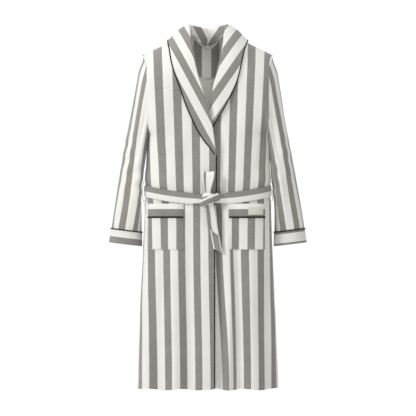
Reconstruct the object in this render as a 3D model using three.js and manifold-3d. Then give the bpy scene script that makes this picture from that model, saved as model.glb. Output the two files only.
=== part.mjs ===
// A full-length striped bathrobe with a shawl collar, turned cuffs, two patch pockets and a sash
// tied at the front. Millimetres, +Z up, front towards -Y, the wearer's right side at -X.
// Heights in this file are measured up from the hem. The outer group then moves the robe so that
// the origin is where a hook bears on the hanging loop, at the back below the collar.

import * as THREE from 'three';
import Module from 'manifold-3d';
import { mergeVertices } from 'three/addons/utils/BufferGeometryUtils.js';

const wasm = await Module();
wasm.setup();

// ---- Driving dimensions ---------------------------------------------------------------------

const CLOTH = 2;              // thickness of one layer of cloth
const GAP = 0.8;              // air between two layers
const MID_Y = 20;             // the side seams' place, front to back

// Profiles of the body against height: [height, value], straight between the rows.
const HALF_WIDTH = [[0, 238], [480, 217], [645, 210], [850, 205], [915, 236], [1220, 236]];
const HALF_DEPTH = [[0, 108], [450, 98], [650, 88], [860, 95], [1040, 95], [1220, 78]];
const SQUARENESS = [[0, 4], [850, 4], [915, 6], [1220, 6]];

const SHOULDER_Z = 1199;      // the shoulder line's height beside the neck
const SHOULDER_SLOPE = 0.5;
const SHOULDER_ROUND = 20;    // softens the bend where the slope starts
const SHOULDER_DROP = 110;    // height over which the cloth turns from the shoulder to the chest
const NECK_HALF = 62;
const NECK_BACK_Z = 1156;     // the neck seam at the centre of the back
const TIP_X = 221;            // the shoulder tips
const ARMHOLE_Z = 856;        // the armholes' lowest point
const SHOULDER_SEAM = 0.05;   // the panels end this far under the shoulder line
const YOKE_Z = 1000;          // above this the panels' rows run out along the shoulder line

// The armhole's edge as the front view shows it: [height, distance from the centre].
const ARMHOLE_X = [[ARMHOLE_Z, 204], [1048, 204], [1079, 210], [1118, 221], [1220, 221]];

// The upper front's edge: along the roll of the collar, then straight down: [height, x].
const RIGHT_EDGE = [[0, 21], [620, 21], [660, 26], [792, 27], [862, 16], [926, 4], [986, -16],
  [1050, -36], [1120, -53], [1176, -60], [1220, -62]];
// The under front's edge: it runs on under the other front, down to the hem.
const LEFT_EDGE = [[0, -62], [660, -60], [800, -44], [870, -18], [936, 4], [969, 13], [1023, 23],
  [1070, 39], [1116, 50], [1176, 54], [1220, 58]];
const UNDERLAP = 15;          // how far the under front lies behind the upper one
const UNDERLAP_RUN = 42;      // width over which it goes back to that depth

// The corner of the upper front that folds open below the sash.
const FOLD_TOP = [21, 400];
const FOLD_FOOT = [-130, 0];
const FOLD_GAP = 1.2;
const FOLD_PROUD = 4;         // the fold's axis stands this far in front of the cloth

const FACING_WIDTH = 62;
const PIPING_R = 1.5;

// Sleeves: the cuff's opening is an ellipse square to the sleeve.
const CUFF_X = 273;
const CUFF_Z = 484;
const CUFF_HALF = 51;
const CUFF_DEPTH = 46;
const CUFF_TILT = 0.13;
const CUFF_SHARE = 0.082;     // share of the sleeve's length that the cuff takes
const SLEEVE_GAP = 3;
const SLEEVE_TOP_Z = 1119;    // the sleeve head's highest point
const SLEEVE_BOW = 10;        // the inner side bows out round the sash and its loops
const SLEEVE_FULL = 9;        // the outer side's fullness, gained just below the sleeve head
const SLEEVE_HEAD = 0.09;     // share of the sleeve's length over which it is gained
const CUFF_SEAM = 0.0045;     // share left open for the piping between sleeve and cuff
const CUFF_PIPING_RISE = 1.4; // how far that piping stands either side of the cloth
const CUFF_PIPING_GAP = 0.002;

// Pockets: the box of each on the front, and how far its mouth stands off the panel.
const POCKETS = { right: [-198, -81], left: [70, 190] };
const POCKET_Z = [468, 573, 577, 620];
const POCKET_FOOT = 1.2;      // air between the panel and a pocket's sewn edges
const POCKET_STAND = 12;

// Sash: a flat strap round the waist, its knot, one bow loop and two hanging tails.
const SASH_HEIGHT = 38;
const SASH_SIDE_Z = 663;
const SASH_FRONT_DROP = 27;
const SASH_OFF = 3;
const SASH_THICK = 2.6;
const KNOT = { x: 4, z: 637, half: [30, 11, 19] };
const BOW_Z = [660, 727];     // the bow loop's foot and its top
const TAIL_OFF = { front: 15, behind: 9 };

// Belt loops at the side seams.
const BELT_LOOP_Z = [628, 698];
const BELT_LOOP_HALF = 5;
const BELT_LOOP_FOOT = 4.5;   // how far its feet stand off the body
const BELT_LOOP_ARCH = 7;     // how much further its middle stands off
const BELT_LOOP_THICK = 1.6;

// Woven label on the left pocket's band, left blank.
const LABEL_X = [133, 181];
const LABEL_Z = [583, 608];
const LABEL_THICK = 1;
const LABEL_OFF = 1.6;

// Hanging loop, outside the back panel.
const LOOP_HALF = 24;
const LOOP_Z = [1062, 1096];
const LOOP_BAR = 6;
const LOOP_STAND = 9;
const LOOP_THICK = 4;

// ---- Colours --------------------------------------------------------------------------------

const CREAM = 0xe6e3da;
const GREY = 0x94918a;
const BLACK = 0x26272a;
const LABEL = 0xd9d2c3;

// ---- Small helpers --------------------------------------------------------------------------

const mix = (a, b, t) => a + (b - a) * t;
const clamp = (value) => Math.min(1, Math.max(0, value));
const smooth = (value) => clamp(value) ** 2 * (3 - 2 * clamp(value));

// Reads a profile of [height, value] rows at a height.
function profile(rows, height) {
  let k = 1;
  while (k < rows.length - 1 && height > rows[k][0]) k += 1;
  const [low, high] = [rows[k - 1], rows[k]];
  return mix(low[1], high[1], clamp((height - low[0]) / (high[0] - low[0])));
}

function shoulderZ(x) {
  const run = Math.abs(x) - NECK_HALF;
  return SHOULDER_Z - (SHOULDER_SLOPE * (run + Math.hypot(run, SHOULDER_ROUND))) / 2;
}

// Depth of the body either side of its middle plane, at a place across and a height.
function depthAt(x, z) {
  const power = profile(SQUARENESS, z);
  const share = Math.min(1, Math.abs(x) / profile(HALF_WIDTH, z));
  const drop = clamp((shoulderZ(x) - z) / SHOULDER_DROP);
  const turn = Math.sqrt(1 - (1 - drop) ** 2);
  return profile(HALF_DEPTH, z) * (1 - share ** power) ** (1 / power) * turn;
}

// A point of the body's outer face: side is -1 on the front and 1 on the back.
const bodyPoint = (x, z, side) => new THREE.Vector3(x, MID_Y + side * depthAt(x, z), z);

function bodyNormal(x, z, side) {
  const step = 0.5;
  const across = bodyPoint(x + step, z, side).sub(bodyPoint(x - step, z, side));
  const up = bodyPoint(x, z + step, side).sub(bodyPoint(x, z - step, side));
  return across.cross(up).normalize().multiplyScalar(-side);
}

const offBody = (x, z, side, off) =>
  bodyPoint(x, z, side).addScaledVector(bodyNormal(x, z, side), off);

// Angle round the body's section, 0 at the right side seam and PI at the left one.
function angleOf(x, z) {
  const share = Math.min(1, Math.abs(x) / profile(HALF_WIDTH, z));
  const angle = Math.acos(share ** (profile(SQUARENESS, z) / 2));
  return x < 0 ? angle : Math.PI - angle;
}

function xOfAngle(angle, z) {
  const cosine = Math.cos(angle);
  const share = Math.abs(cosine) ** (2 / profile(SQUARENESS, z));
  return -Math.sign(cosine) * share * profile(HALF_WIDTH, z);
}

// How far the under front lies behind the body's face at a place.
function underlapAt(x, z) {
  const edge = profile(RIGHT_EDGE, z) + UNDERLAP_RUN + 8;
  return -UNDERLAP * smooth((edge - x) / UNDERLAP_RUN);
}

// ---- Solids from grids ----------------------------------------------------------------------

// Turns rings or rows of points into one closed solid. Outer and inner are functions of
// (u, v) in 0..1. A ring closes in u; a sheet gets rims on all four sides.
function shell(outer, inner, across, along, ring = false) {
  const points = [];
  const index = [];
  const columns = ring ? across : across + 1;
  const rows = along + 1;
  for (const face of [outer, inner]) {
    for (let j = 0; j < rows; j += 1) {
      for (let i = 0; i < columns; i += 1) points.push(...face(i / across, j / along).toArray());
    }
  }
  const at = (i, j, layer) => layer * columns * rows + j * columns + (i % columns);
  const quad = (a, b, c, d) => index.push(a, b, c, a, c, d);
  for (let j = 0; j < along; j += 1) {
    for (let i = 0; i < across; i += 1) {
      quad(at(i, j, 0), at(i + 1, j, 0), at(i + 1, j + 1, 0), at(i, j + 1, 0));
      quad(at(i, j, 1), at(i, j + 1, 1), at(i + 1, j + 1, 1), at(i + 1, j, 1));
    }
  }
  for (let i = 0; i < across; i += 1) {
    quad(at(i, 0, 0), at(i, 0, 1), at(i + 1, 0, 1), at(i + 1, 0, 0));
    quad(at(i, along, 0), at(i + 1, along, 0), at(i + 1, along, 1), at(i, along, 1));
  }
  for (let j = 0; j < along && !ring; j += 1) {
    quad(at(0, j, 0), at(0, j + 1, 0), at(0, j + 1, 1), at(0, j, 1));
    quad(at(across, j, 0), at(across, j, 1), at(across, j + 1, 1), at(across, j + 1, 0));
  }
  const geometry = new THREE.BufferGeometry();
  geometry.setAttribute('position', new THREE.Float32BufferAttribute(points, 3));
  geometry.setIndex(signedVolume(points, index) < 0 ? index.reverse() : index);
  geometry.computeVertexNormals();
  return geometry;
}

function signedVolume(points, index) {
  const corner = (k) => new THREE.Vector3().fromArray(points, 3 * index[k]);
  let sum = 0;
  for (let k = 0; k < index.length; k += 3) {
    sum += corner(k).dot(corner(k + 1).cross(corner(k + 2)));
  }
  return sum;
}

// Moves a point of a surface off it, towards the side that faces away from a centre.
function offSurface(surface, u, v, off, centre, ring = false) {
  const step = 0.002;
  const [u0, u1] = ring ? [u - step, u + step] : [Math.max(0, u - step), Math.min(1, u + step)];
  const across = surface(u1, v).sub(surface(u0, v));
  const up = surface(u, Math.min(1, v + step)).sub(surface(u, Math.max(0, v - step)));
  const point = surface(u, v);
  const normal = across.cross(up).normalize();
  if (normal.dot(point.clone().sub(centre(point))) < 0) normal.negate();
  return point.addScaledVector(normal, off);
}

const bodyCentre = (point) => new THREE.Vector3(point.x * 0.6, MID_Y, point.z - 60);

// A sheet of cloth on a surface, between two distances off it.
function sheet(surface, low, high, across, along, centre = bodyCentre, ring = false) {
  const outer = (u, v) => offSurface(surface, u, v, high, centre, ring);
  const inner = (u, v) => offSurface(surface, u, v, low, centre, ring);
  return shell(outer, inner, across, along, ring);
}

// A round cord along a list of points.
function piping(points) {
  const path = new THREE.CatmullRomCurve3(points, false, 'centripetal');
  const section = new THREE.Shape();
  section.absarc(0, 0, PIPING_R, 0, 2 * Math.PI);
  const steps = Math.ceil(path.getLength() / 30);
  return new THREE.ExtrudeGeometry(section, { steps, extrudePath: path, curveSegments: 3 });
}

const robe = new THREE.Group();

function add(name, geometry, color) {
  const material = new THREE.MeshStandardMaterial({ color, roughness: 0.85, metalness: 0 });
  const mesh = new THREE.Mesh(geometry, material);
  mesh.name = name;
  robe.add(mesh);
}

// ---- Body panels ----------------------------------------------------------------------------

// Height of a row that runs out along the shoulder: share 0 is the yoke, 1 the shoulder line.
function yokeHeight(x, share, top) {
  return mix(YOKE_Z, top, Math.sin((share * Math.PI) / 2));
}

const ROWS = 17;              // rows of a panel from the hem to the shoulder
const LOWER = 10 / ROWS;      // share of them that lie below the yoke

const foldX = (z) => mix(FOLD_FOOT[0], FOLD_TOP[0], z / FOLD_TOP[1]);

// One front panel as a surface: u runs from the side seam to the front edge, v upwards.
function frontSurface(sign, edgeX, layer) {
  return (u, v) => {
    let x;
    let z;
    if (v <= LOWER) {
      z = (YOKE_Z * v) / LOWER;
      const hole = z > ARMHOLE_Z ? profile(ARMHOLE_X, z) : profile(HALF_WIDTH, z);
      x = xOfAngle(mix(angleOf(sign * hole, z), angleOf(edgeX(z), z), u), z);
    } else {
      const share = (v - LOWER) / (1 - LOWER);
      const guess = mix(YOKE_Z, SHOULDER_Z, share);
      x = mix(sign * profile(ARMHOLE_X, mix(YOKE_Z, 1118, share)), edgeX(guess), u);
      z = yokeHeight(x, share, shoulderZ(x) - SHOULDER_SEAM);
    }
    return offBody(x, z, -1, layer(x, z));
  };
}

function backSurface(u, v) {
  let x;
  let z;
  if (v <= LOWER) {
    z = (YOKE_Z * v) / LOWER;
    const hole = z > ARMHOLE_Z ? profile(ARMHOLE_X, z) : profile(HALF_WIDTH, z);
    x = xOfAngle(mix(angleOf(-hole, z), angleOf(hole, z), u), z);
  } else {
    const share = (v - LOWER) / (1 - LOWER);
    const hole = profile(ARMHOLE_X, mix(YOKE_Z, 1118, share));
    x = mix(-hole, hole, u);
    z = yokeHeight(x, share, backTop(x));
  }
  return offBody(x, z, 1, 0);
}

// The back's upper edge: the shoulder line, dipping to the neck seam between the shoulders.
function backTop(x) {
  const dip = 1 - smooth(Math.abs(x) / NECK_HALF);
  return mix(shoulderZ(x) - SHOULDER_SEAM, NECK_BACK_Z, dip);
}

const SEAM = 0.0001;          // share left out at a side seam, so that two panels don't touch

function inset(surface) {
  return (u, v) => surface(mix(SEAM, 1 - SEAM, u), v);
}

const rightEdge = (z) => (z < FOLD_TOP[1] ? foldX(z) - FOLD_GAP : profile(RIGHT_EDGE, z));
const leftEdge = (z) => profile(LEFT_EDGE, z);
const level = () => 0;

// A gap each side of the side seam and the shoulder seam: the back stands this far behind.
const BACK_SHIFT = new THREE.Vector3(0, 1.4, 0);
const backFace = (u, v) => inset(backSurface)(u, v).add(BACK_SHIFT);

add('back_panel', sheet(backFace, -CLOTH, 0, 22, ROWS), CREAM);
const rightFront = inset(frontSurface(-1, rightEdge, level));
const leftFront = inset(frontSurface(1, leftEdge, underlapAt));
add('right_front_panel', sheet(rightFront, -CLOTH, 0, 11, ROWS), CREAM);
add('left_front_panel', sheet(leftFront, -CLOTH, 0, 15, ROWS), CREAM);

// A strip of the front between two edges and two heights, on a layer of its own.
function strip(side, fromX, toX, fromZ, toZ, layer) {
  return (u, v) => {
    const z = mix(fromZ, toZ, v);
    const x = mix(fromX(z), toX(z), u);
    return offBody(x, z, side, layer(x, z));
  };
}

const FLAP_TOP = FOLD_TOP[1] - 20;
const rightRoll = (z) => profile(RIGHT_EDGE, z);
const flap = strip(-1, (z) => foldX(z) + FOLD_GAP, rightRoll, 0, FLAP_TOP, level);
add('right_skirt_flap', sheet(flap, -CLOTH, 0, 6, 10), CREAM);

// ---- Facings inside the front edges, and pipings along them ----------------------------------

const FACING_TOP = 860;
const LEFT_FACING_TOP = 840;
const LEFT_FACING_WIDTH = 50;
const UNDER = -CLOTH - GAP;
const behindLeft = (x, z) => underlapAt(x, z) + UNDER;
const faceRight = strip(-1, (z) => rightRoll(z) - FACING_WIDTH, (z) => rightRoll(z) - 1,
  FOLD_TOP[1] + 14, FACING_TOP, () => UNDER - GAP);
const faceFlap = strip(-1, (z) => Math.max(rightRoll(z) - FACING_WIDTH, foldX(z) + 3),
  (z) => rightRoll(z) - 1, 2, FLAP_TOP - 12, () => UNDER);
const faceLeft = strip(-1, (z) => leftEdge(z) + 1, (z) => leftEdge(z) + LEFT_FACING_WIDTH,
  2, LEFT_FACING_TOP, behindLeft);
add('right_front_facing', sheet(faceRight, -CLOTH, 0, 4, 12), GREY);
add('right_flap_facing', sheet(faceFlap, -CLOTH, 0, 4, 10), GREY);
add('left_front_facing', sheet(faceLeft, -CLOTH, 0, 4, 16), GREY);

function edgePoints(edge, out, layer, fromZ, toZ, count) {
  return Array.from({ length: count + 1 }, (_, k) => {
    const z = mix(fromZ, toZ, k / count);
    const x = edge(z);
    return offBody(x + out, z, -1, layer(x, z) - CLOTH / 2 - 0.3);
  });
}

const PIPING_OUT = PIPING_R + 1.4;
const COLLAR_END_Z = 778;
const LEFT_PIPING_TOP = 790;
add('right_front_piping', piping(edgePoints(rightRoll, PIPING_OUT, level,
  FOLD_TOP[1] + 2, COLLAR_END_Z, 14)), BLACK);
add('right_flap_piping', piping(edgePoints(rightRoll, PIPING_OUT, level,
  0.5, FLAP_TOP - 2, 12)), BLACK);
add('left_front_piping', piping(edgePoints(leftEdge, -PIPING_OUT, underlapAt,
  0.5, LEFT_PIPING_TOP, 20)), BLACK);

// ---- Back neck ------------------------------------------------------------------------------

const innerBack = (low, high, half, off) => (u, v) => {
  const x = mix(-half, half, u);
  const bottom = low + 26 * (x / half) ** 2;
  return offBody(x, mix(bottom, high(x), v), 1, off);
};
const neckFacing = innerBack(1046, (x) => backTop(x) - 5, 46, UNDER - 1.2);
add('back_neck_facing', sheet(neckFacing, -CLOTH, 0, 10, 6), GREY);
const TAPE_HEIGHT = 9;
const tapeFace = (u, v) => {
  const x = mix(-36, 36, u);
  return offBody(x, backTop(x) - 4 - TAPE_HEIGHT * (1 - v), 1, 2 * UNDER - 2);
};
add('back_neck_tape', sheet(tapeFace, -1.2, 0, 10, 1), CREAM);

// ---- Shawl collar ---------------------------------------------------------------------------

// Sections along the collar from the centre back to its front end. Each holds the neck seam,
// the roll, the middle of the fall and the outer edge. The back ones are whole points; the front
// ones are [x, z, distance off the body] and take their depth from the body.
const back = (...rows) => rows.map(([x, y, z]) => new THREE.Vector3(x, y, z));

function frontSection(roll, edge, seamOff, rollOff, edgeOff, swell = 2) {
  const on = ([x, z], off) => offBody(x, z, -1, off);
  const middle = [(roll[0] + edge[0]) / 2, (roll[1] + edge[1]) / 2];
  const sign = Math.sign(roll[0] - edge[0]);
  const seam = on([roll[0] + sign * 2, roll[1]], seamOff);
  return [seam, on(roll, rollOff), on(middle, (rollOff + edgeOff) / 2 + swell), on(edge, edgeOff)];
}

function collarSections(sign) {
  const m = (rows) => back(...rows.map(([x, y, z]) => [sign * x, y, z]));
  return [
    m([[1.6, 84, 1165], [1.6, 84, 1208], [1.6, 106, 1182], [1.6, 113, 1122]]),
    m([[42, 58, 1187], [40, 62, 1213], [60, 88, 1190], [80, 107, 1138]]),
    m([[60, 22, 1203], [62, 18, 1218], [98, 26, 1204], [131, 28, 1174]]),
  ];
}

const collarRight = [
  ...collarSections(-1),
  frontSection([-59.5, 1172], [-126, 1134], 4.5, 9, 5.5),
  frontSection([-53, 1120], [-116, 1078], 4.5, 8, 5.5),
  frontSection([-36, 1050], [-92, 1009], 4.5, 8, 5.5),
  frontSection([-16, 986], [-71, 949], 4.5, 8, 5.5),
  frontSection([4, 926], [-43, 886], 4.5, 8, 5.5),
  frontSection([16, 862], [-21, 838], 4.5, 8, 5.5),
  frontSection([25, 800], [14, 793], 4.5, 7, 5.5),
];

const TUCK = 4.4 - UNDERLAP;
const collarLeft = [
  ...collarSections(1),
  frontSection([54, 1172], [118, 1132], 5, 9.5, 8),
  frontSection([50, 1120], [107, 1074], 4.5, 8, 6.5),
  frontSection([39, 1070], [94, 1026], 4.5, 8, 5.5),
  frontSection([23, 1023], [72, 978], 5, 8, 6.5),
  frontSection([13, 969], [50, 936], 2, 4, 6),
  frontSection([4, 930], [28, 900], TUCK + 1, TUCK + 2, 1.5),
  frontSection([-14, 880], [6, 862], TUCK, TUCK + 1, TUCK + 1, 0.4),
  frontSection([-36, 815], [-28, 808], TUCK, TUCK + 1, TUCK + 1, 0.4),
];

const column = (sections, k) =>
  new THREE.CatmullRomCurve3(sections.map((row) => row[k]), false, 'centripetal');

// The collar's middle surface: u from the neck seam over the roll to the outer edge.
function collarSurface(sections) {
  const columns = sections[0].map((_, k) => column(sections, k));
  return (u, v) => {
    const points = columns.map((curve) => curve.getPoint(v));
    return new THREE.CatmullRomCurve3(points, false, 'centripetal').getPoint(u);
  };
}

// The side of the collar that shows lies away from a line low inside the fold.
function collarSheet(surface, low, high, fromU, across, along) {
  const part = (u, v) => surface(mix(fromU, 1, u), v);
  const step = 0.004;
  const offset = (u, v, off) => {
    const over = part(Math.min(1, u + step), v).sub(part(Math.max(0, u - step), v));
    const down = part(u, Math.min(1, v + step)).sub(part(u, Math.max(0, v - step)));
    const normal = over.cross(down).normalize().multiplyScalar(part(0, 0.5).x < 0 ? 1 : -1);
    return part(u, v).addScaledVector(normal, off);
  };
  return shell((u, v) => offset(u, v, high), (u, v) => offset(u, v, low), across, along);
}

const TOP_LAYER = [0.4, 0.4 + CLOTH];
const UNDER_LAYER = [-0.4 - CLOTH, -0.4];
const UNDER_START = 0.5;      // the under collar starts on the fall, past the roll

for (const [side, sections] of [['right', collarRight], ['left', collarLeft]]) {
  const surface = collarSurface(sections);
  add(`${side}_collar`, collarSheet(surface, ...TOP_LAYER, 0, 9, 17), CREAM);
  add(`${side}_under_collar`, collarSheet(surface, ...UNDER_LAYER, UNDER_START, 4, 17), GREY);
  const edge = Array.from({ length: 23 }, (_, k) => {
    const v = mix(0.006, 0.995, k / 22);
    const out = surface(1, v).sub(surface(0.97, v)).normalize().multiplyScalar(PIPING_OUT);
    return surface(1, v).add(out);
  });
  add(`${side}_collar_piping`, piping(edge), BLACK);
}

// ---- Sleeves and cuffs ----------------------------------------------------------------------

// Sleeve surface: u runs round from the outer side over the front, v from the cuff's opening up
// to the armhole. The rim follows the armhole a small gap away from the body's panels.
function sleeveSurface(sign) {
  return (u, v) => {
    const angle = 2 * Math.PI * u;
    const [cosine, sine] = [Math.cos(angle), Math.sin(angle)];
    const rimZ = mix(ARMHOLE_Z, SLEEVE_TOP_Z, (1 + cosine) / 2);
    const rimX = profile(ARMHOLE_X, rimZ) + SLEEVE_GAP;
    const depth = depthAt(profile(ARMHOLE_X, rimZ) - 1, rimZ) * 0.97;
    const rim = new THREE.Vector3(sign * rimX, MID_Y - Math.sign(sine) * depth, rimZ);
    if (Math.abs(sine) < 1e-6) rim.y = MID_Y;
    const cuffX = CUFF_X + CUFF_HALF * cosine;
    const cuffZ = CUFF_Z + CUFF_TILT * CUFF_HALF * cosine;
    const cuff = new THREE.Vector3(sign * cuffX, MID_Y - CUFF_DEPTH * sine, cuffZ);
    const bow = SLEEVE_BOW * Math.sin(Math.PI * v) * (1 - cosine) / 2;
    const full = SLEEVE_FULL * smooth((1 - v) / SLEEVE_HEAD) * (1 + cosine) / 2;
    return cuff.lerp(rim, v).add(new THREE.Vector3(sign * (bow + full), 0, 0));
  };
}

const sleeveCentre = (sign) => (point) =>
  new THREE.Vector3(sign * mix(CUFF_X, 215, clamp((point.z - CUFF_Z) / 560)), MID_Y, point.z - 40);

for (const [side, sign] of [['right', -1], ['left', 1]]) {
  const surface = sleeveSurface(sign);
  const part = (from, to) => (u, v) => surface(u, mix(from, to, v));
  const centre = sleeveCentre(sign);
  const upper = sheet(part(CUFF_SHARE + CUFF_SEAM, 1), -CLOTH, 0, 20, 7, centre, true);
  add(`${side}_sleeve`, upper, CREAM);
  const band = sheet(part(0, CUFF_SHARE - CUFF_SEAM), -CLOTH, 0.6, 20, 1, centre, true);
  add(`${side}_cuff`, band, CREAM);
  const reach = CUFF_SEAM - CUFF_PIPING_GAP;
  const seam = part(CUFF_SHARE - reach, CUFF_SHARE + reach);
  const ring = sheet(seam, -CUFF_PIPING_RISE, CUFF_PIPING_RISE, 20, 1, centre, true);
  add(`${side}_cuff_piping`, ring, BLACK);
}

// ---- Pockets --------------------------------------------------------------------------------

for (const [side, [fromX, toX]] of Object.entries(POCKETS)) {
  const [low, bodyTop, bandLow, high] = POCKET_Z;
  const stand = (x, z) => {
    const across = Math.sin(Math.PI * clamp((x - fromX) / (toX - fromX)));
    const rise = smooth((z - low) / (high - low));
    return POCKET_FOOT + CLOTH + POCKET_STAND * Math.sqrt(Math.max(0, across)) * rise;
  };
  const pocket = strip(-1, () => fromX, () => toX, low, bodyTop, stand);
  const band = strip(-1, () => fromX, () => toX, bandLow, high, stand);
  add(`${side}_pocket`, sheet(pocket, -CLOTH, 0, 10, 6), CREAM);
  add(`${side}_pocket_band`, sheet(band, -CLOTH, 0, 10, 2), GREY);
  const middle = (bodyTop + bandLow) / 2;
  const line = Array.from({ length: 11 }, (_, k) => {
    const x = mix(fromX + 1, toX - 1, k / 10);
    return offBody(x, middle, -1, stand(x, middle) - 0.6);
  });
  add(`${side}_pocket_piping`, piping(line), BLACK);
  if (side === 'left') {
    const tag = strip(-1, () => LABEL_X[0], () => LABEL_X[1], ...LABEL_Z,
      (x, z) => stand(x, z) + LABEL_OFF);
    add('left_pocket_label', sheet(tag, -LABEL_THICK, 0, 6, 2), LABEL);
  }
}

// ---- Sash -----------------------------------------------------------------------------------

function sashZ(x, side) {
  const drop = side < 0 ? SASH_FRONT_DROP * (1 - (x / 210) ** 2) : 0;
  return SASH_SIDE_Z - drop;
}

const sashBand = (u, v) => {
  const turn = 2 * Math.PI * u;
  const side = Math.sin(turn) < 0 ? -1 : 1;
  const flat = xOfAngle(Math.acos(clamp(Math.abs(Math.cos(turn)))), SASH_SIDE_Z);
  const x = Math.sign(Math.cos(turn)) * Math.abs(flat);
  const z = sashZ(x, side) + (v - 0.5) * SASH_HEIGHT;
  const width = profile(HALF_WIDTH, z);
  const shift = BACK_SHIFT.clone().multiplyScalar(Math.max(0, Math.sin(turn)));
  return bodyPoint(x * (width / profile(HALF_WIDTH, SASH_SIDE_Z)), z, side).add(shift);
};
const sashOuter = (off) => (u, v) => offSurface(sashBand, u, v, off, bodyCentre, true);
add('sash_band', shell(sashOuter(SASH_OFF + SASH_THICK), sashOuter(SASH_OFF), 44, 1, true), GREY);

const frontY = (z) => bodyPoint(0, z, -1).y;
const knotY = frontY(KNOT.z) - SASH_OFF - SASH_THICK - 0.8 - KNOT.half[1];
const knot = new THREE.SphereGeometry(1, 14, 10);
knot.rotateX(Math.PI / 2);
knot.scale(...KNOT.half);
knot.translate(KNOT.x, knotY, KNOT.z);
add('sash_knot', knot, CREAM);

// A hanging or standing end of the strap: a flat strip in front of the robe. The slant cuts its
// free end on a diagonal.
function strapEnd(xs, zs, slant, off) {
  return (u, v) => {
    const x = mix(mix(xs[0], xs[1], v), mix(xs[2], xs[3], v), u);
    const z = mix(zs[0], zs[1], v) + slant * v * (0.5 - u);
    return new THREE.Vector3(x, frontY(z) - off, z);
  };
}

const TAIL_TOP = 615;
const tailFront = strapEnd([-9, 0, 24, 38], [TAIL_TOP, 524], 22, TAIL_OFF.front);
const tailBehind = strapEnd([-6, 18, 22, 50], [TAIL_TOP, 457], 12, TAIL_OFF.behind);
add('sash_tail_front', sheet(tailFront, -SASH_THICK, 0, 4, 6), CREAM);
add('sash_tail_behind', sheet(tailBehind, -SASH_THICK, 0, 4, 8), CREAM);

// The bow loop: two leaves of the strap joined by the bend at the top.
const [BOW_FOOT, BOW_TOP] = BOW_Z;
const bowProfile = [[-7, BOW_FOOT], [-7, BOW_TOP - 11], [-4.5, BOW_TOP - 2], [0, BOW_TOP],
  [4.5, BOW_TOP - 2], [7, BOW_TOP - 11], [7, BOW_FOOT]];
const bowY = frontY(690) - 16;
const bowLine = new THREE.CatmullRomCurve3(
  bowProfile.map(([y, z]) => new THREE.Vector3(0, bowY + y, z)), false, 'centripetal');
const bowSurface = (u, v) => {
  const point = bowLine.getPoint(v);
  const rise = (point.z - BOW_FOOT) / (BOW_TOP - BOW_FOOT);
  return point.setX(mix(mix(-12, -22, rise), mix(12, 21, rise), u));
};
const bowCentre = (point) => new THREE.Vector3(point.x, bowY, Math.min(point.z, 700));
add('sash_bow_loop', sheet(bowSurface, -SASH_THICK, 0, 2, 14, bowCentre), CREAM);

// Belt loops at the side seams, standing clear over the sash.
for (const [side, sign] of [['right', -1], ['left', 1]]) {
  const arch = (u, v) => {
    const z = mix(...BELT_LOOP_Z, v);
    const off = BELT_LOOP_FOOT + BELT_LOOP_ARCH * Math.sqrt(Math.sin(Math.PI * mix(0.02, 0.98, v)));
    const y = MID_Y + mix(-BELT_LOOP_HALF, BELT_LOOP_HALF, u);
    return new THREE.Vector3(sign * (profile(HALF_WIDTH, z) + off), y, z);
  };
  add(`${side}_belt_loop`, sheet(arch, -BELT_LOOP_THICK, 0, 2, 14), CREAM);
}

// ---- Hanging loop ---------------------------------------------------------------------------

function solidOf(geometry) {
  geometry.deleteAttribute('normal');
  geometry.deleteAttribute('uv');
  const merged = mergeVertices(geometry, 1e-4);
  const vertProperties = new Float32Array(merged.attributes.position.array);
  const triVerts = new Uint32Array(merged.index.array);
  return new wasm.Manifold(new wasm.Mesh({ numProp: 3, vertProperties, triVerts }));
}

function geometryOf(solid) {
  const { vertProperties, triVerts } = solid.getMesh();
  const geometry = new THREE.BufferGeometry();
  geometry.setAttribute('position', new THREE.BufferAttribute(vertProperties, 3));
  geometry.setIndex(new THREE.BufferAttribute(triVerts, 1));
  geometry.computeVertexNormals();
  return geometry;
}

function block(low, high) {
  const size = high.map((value, k) => value - low[k]);
  const geometry = new THREE.BoxGeometry(...size);
  return solidOf(geometry.translate(...low.map((value, k) => value + size[k] / 2)));
}

// Two feet against the back, two legs that stand off it and the bar that the hook bears on.
const loopBack = bodyPoint(0, LOOP_Z[0], 1).y + BACK_SHIFT.y + 0.8;
const loopFront = loopBack + LOOP_STAND;
let loop = block([-LOOP_HALF, loopFront, LOOP_Z[1]],
  [LOOP_HALF, loopFront + LOOP_THICK, LOOP_Z[1] + LOOP_BAR]);
for (const x of [-LOOP_HALF, LOOP_HALF - LOOP_BAR]) {
  loop = loop.add(block([x, loopFront, LOOP_Z[0]],
    [x + LOOP_BAR, loopFront + LOOP_THICK, LOOP_Z[1] + 1]));
  loop = loop.add(block([x, loopBack, LOOP_Z[0]],
    [x + LOOP_BAR, loopFront + 1, LOOP_Z[0] + LOOP_BAR]));
}
add('hanging_loop', geometryOf(loop), CREAM);

// The origin: the middle of the bar's underside.
robe.position.set(0, -(loopFront + LOOP_THICK / 2), -LOOP_Z[1]);

const bathrobe = new THREE.Group();
bathrobe.add(robe);
export default bathrobe;
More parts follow.
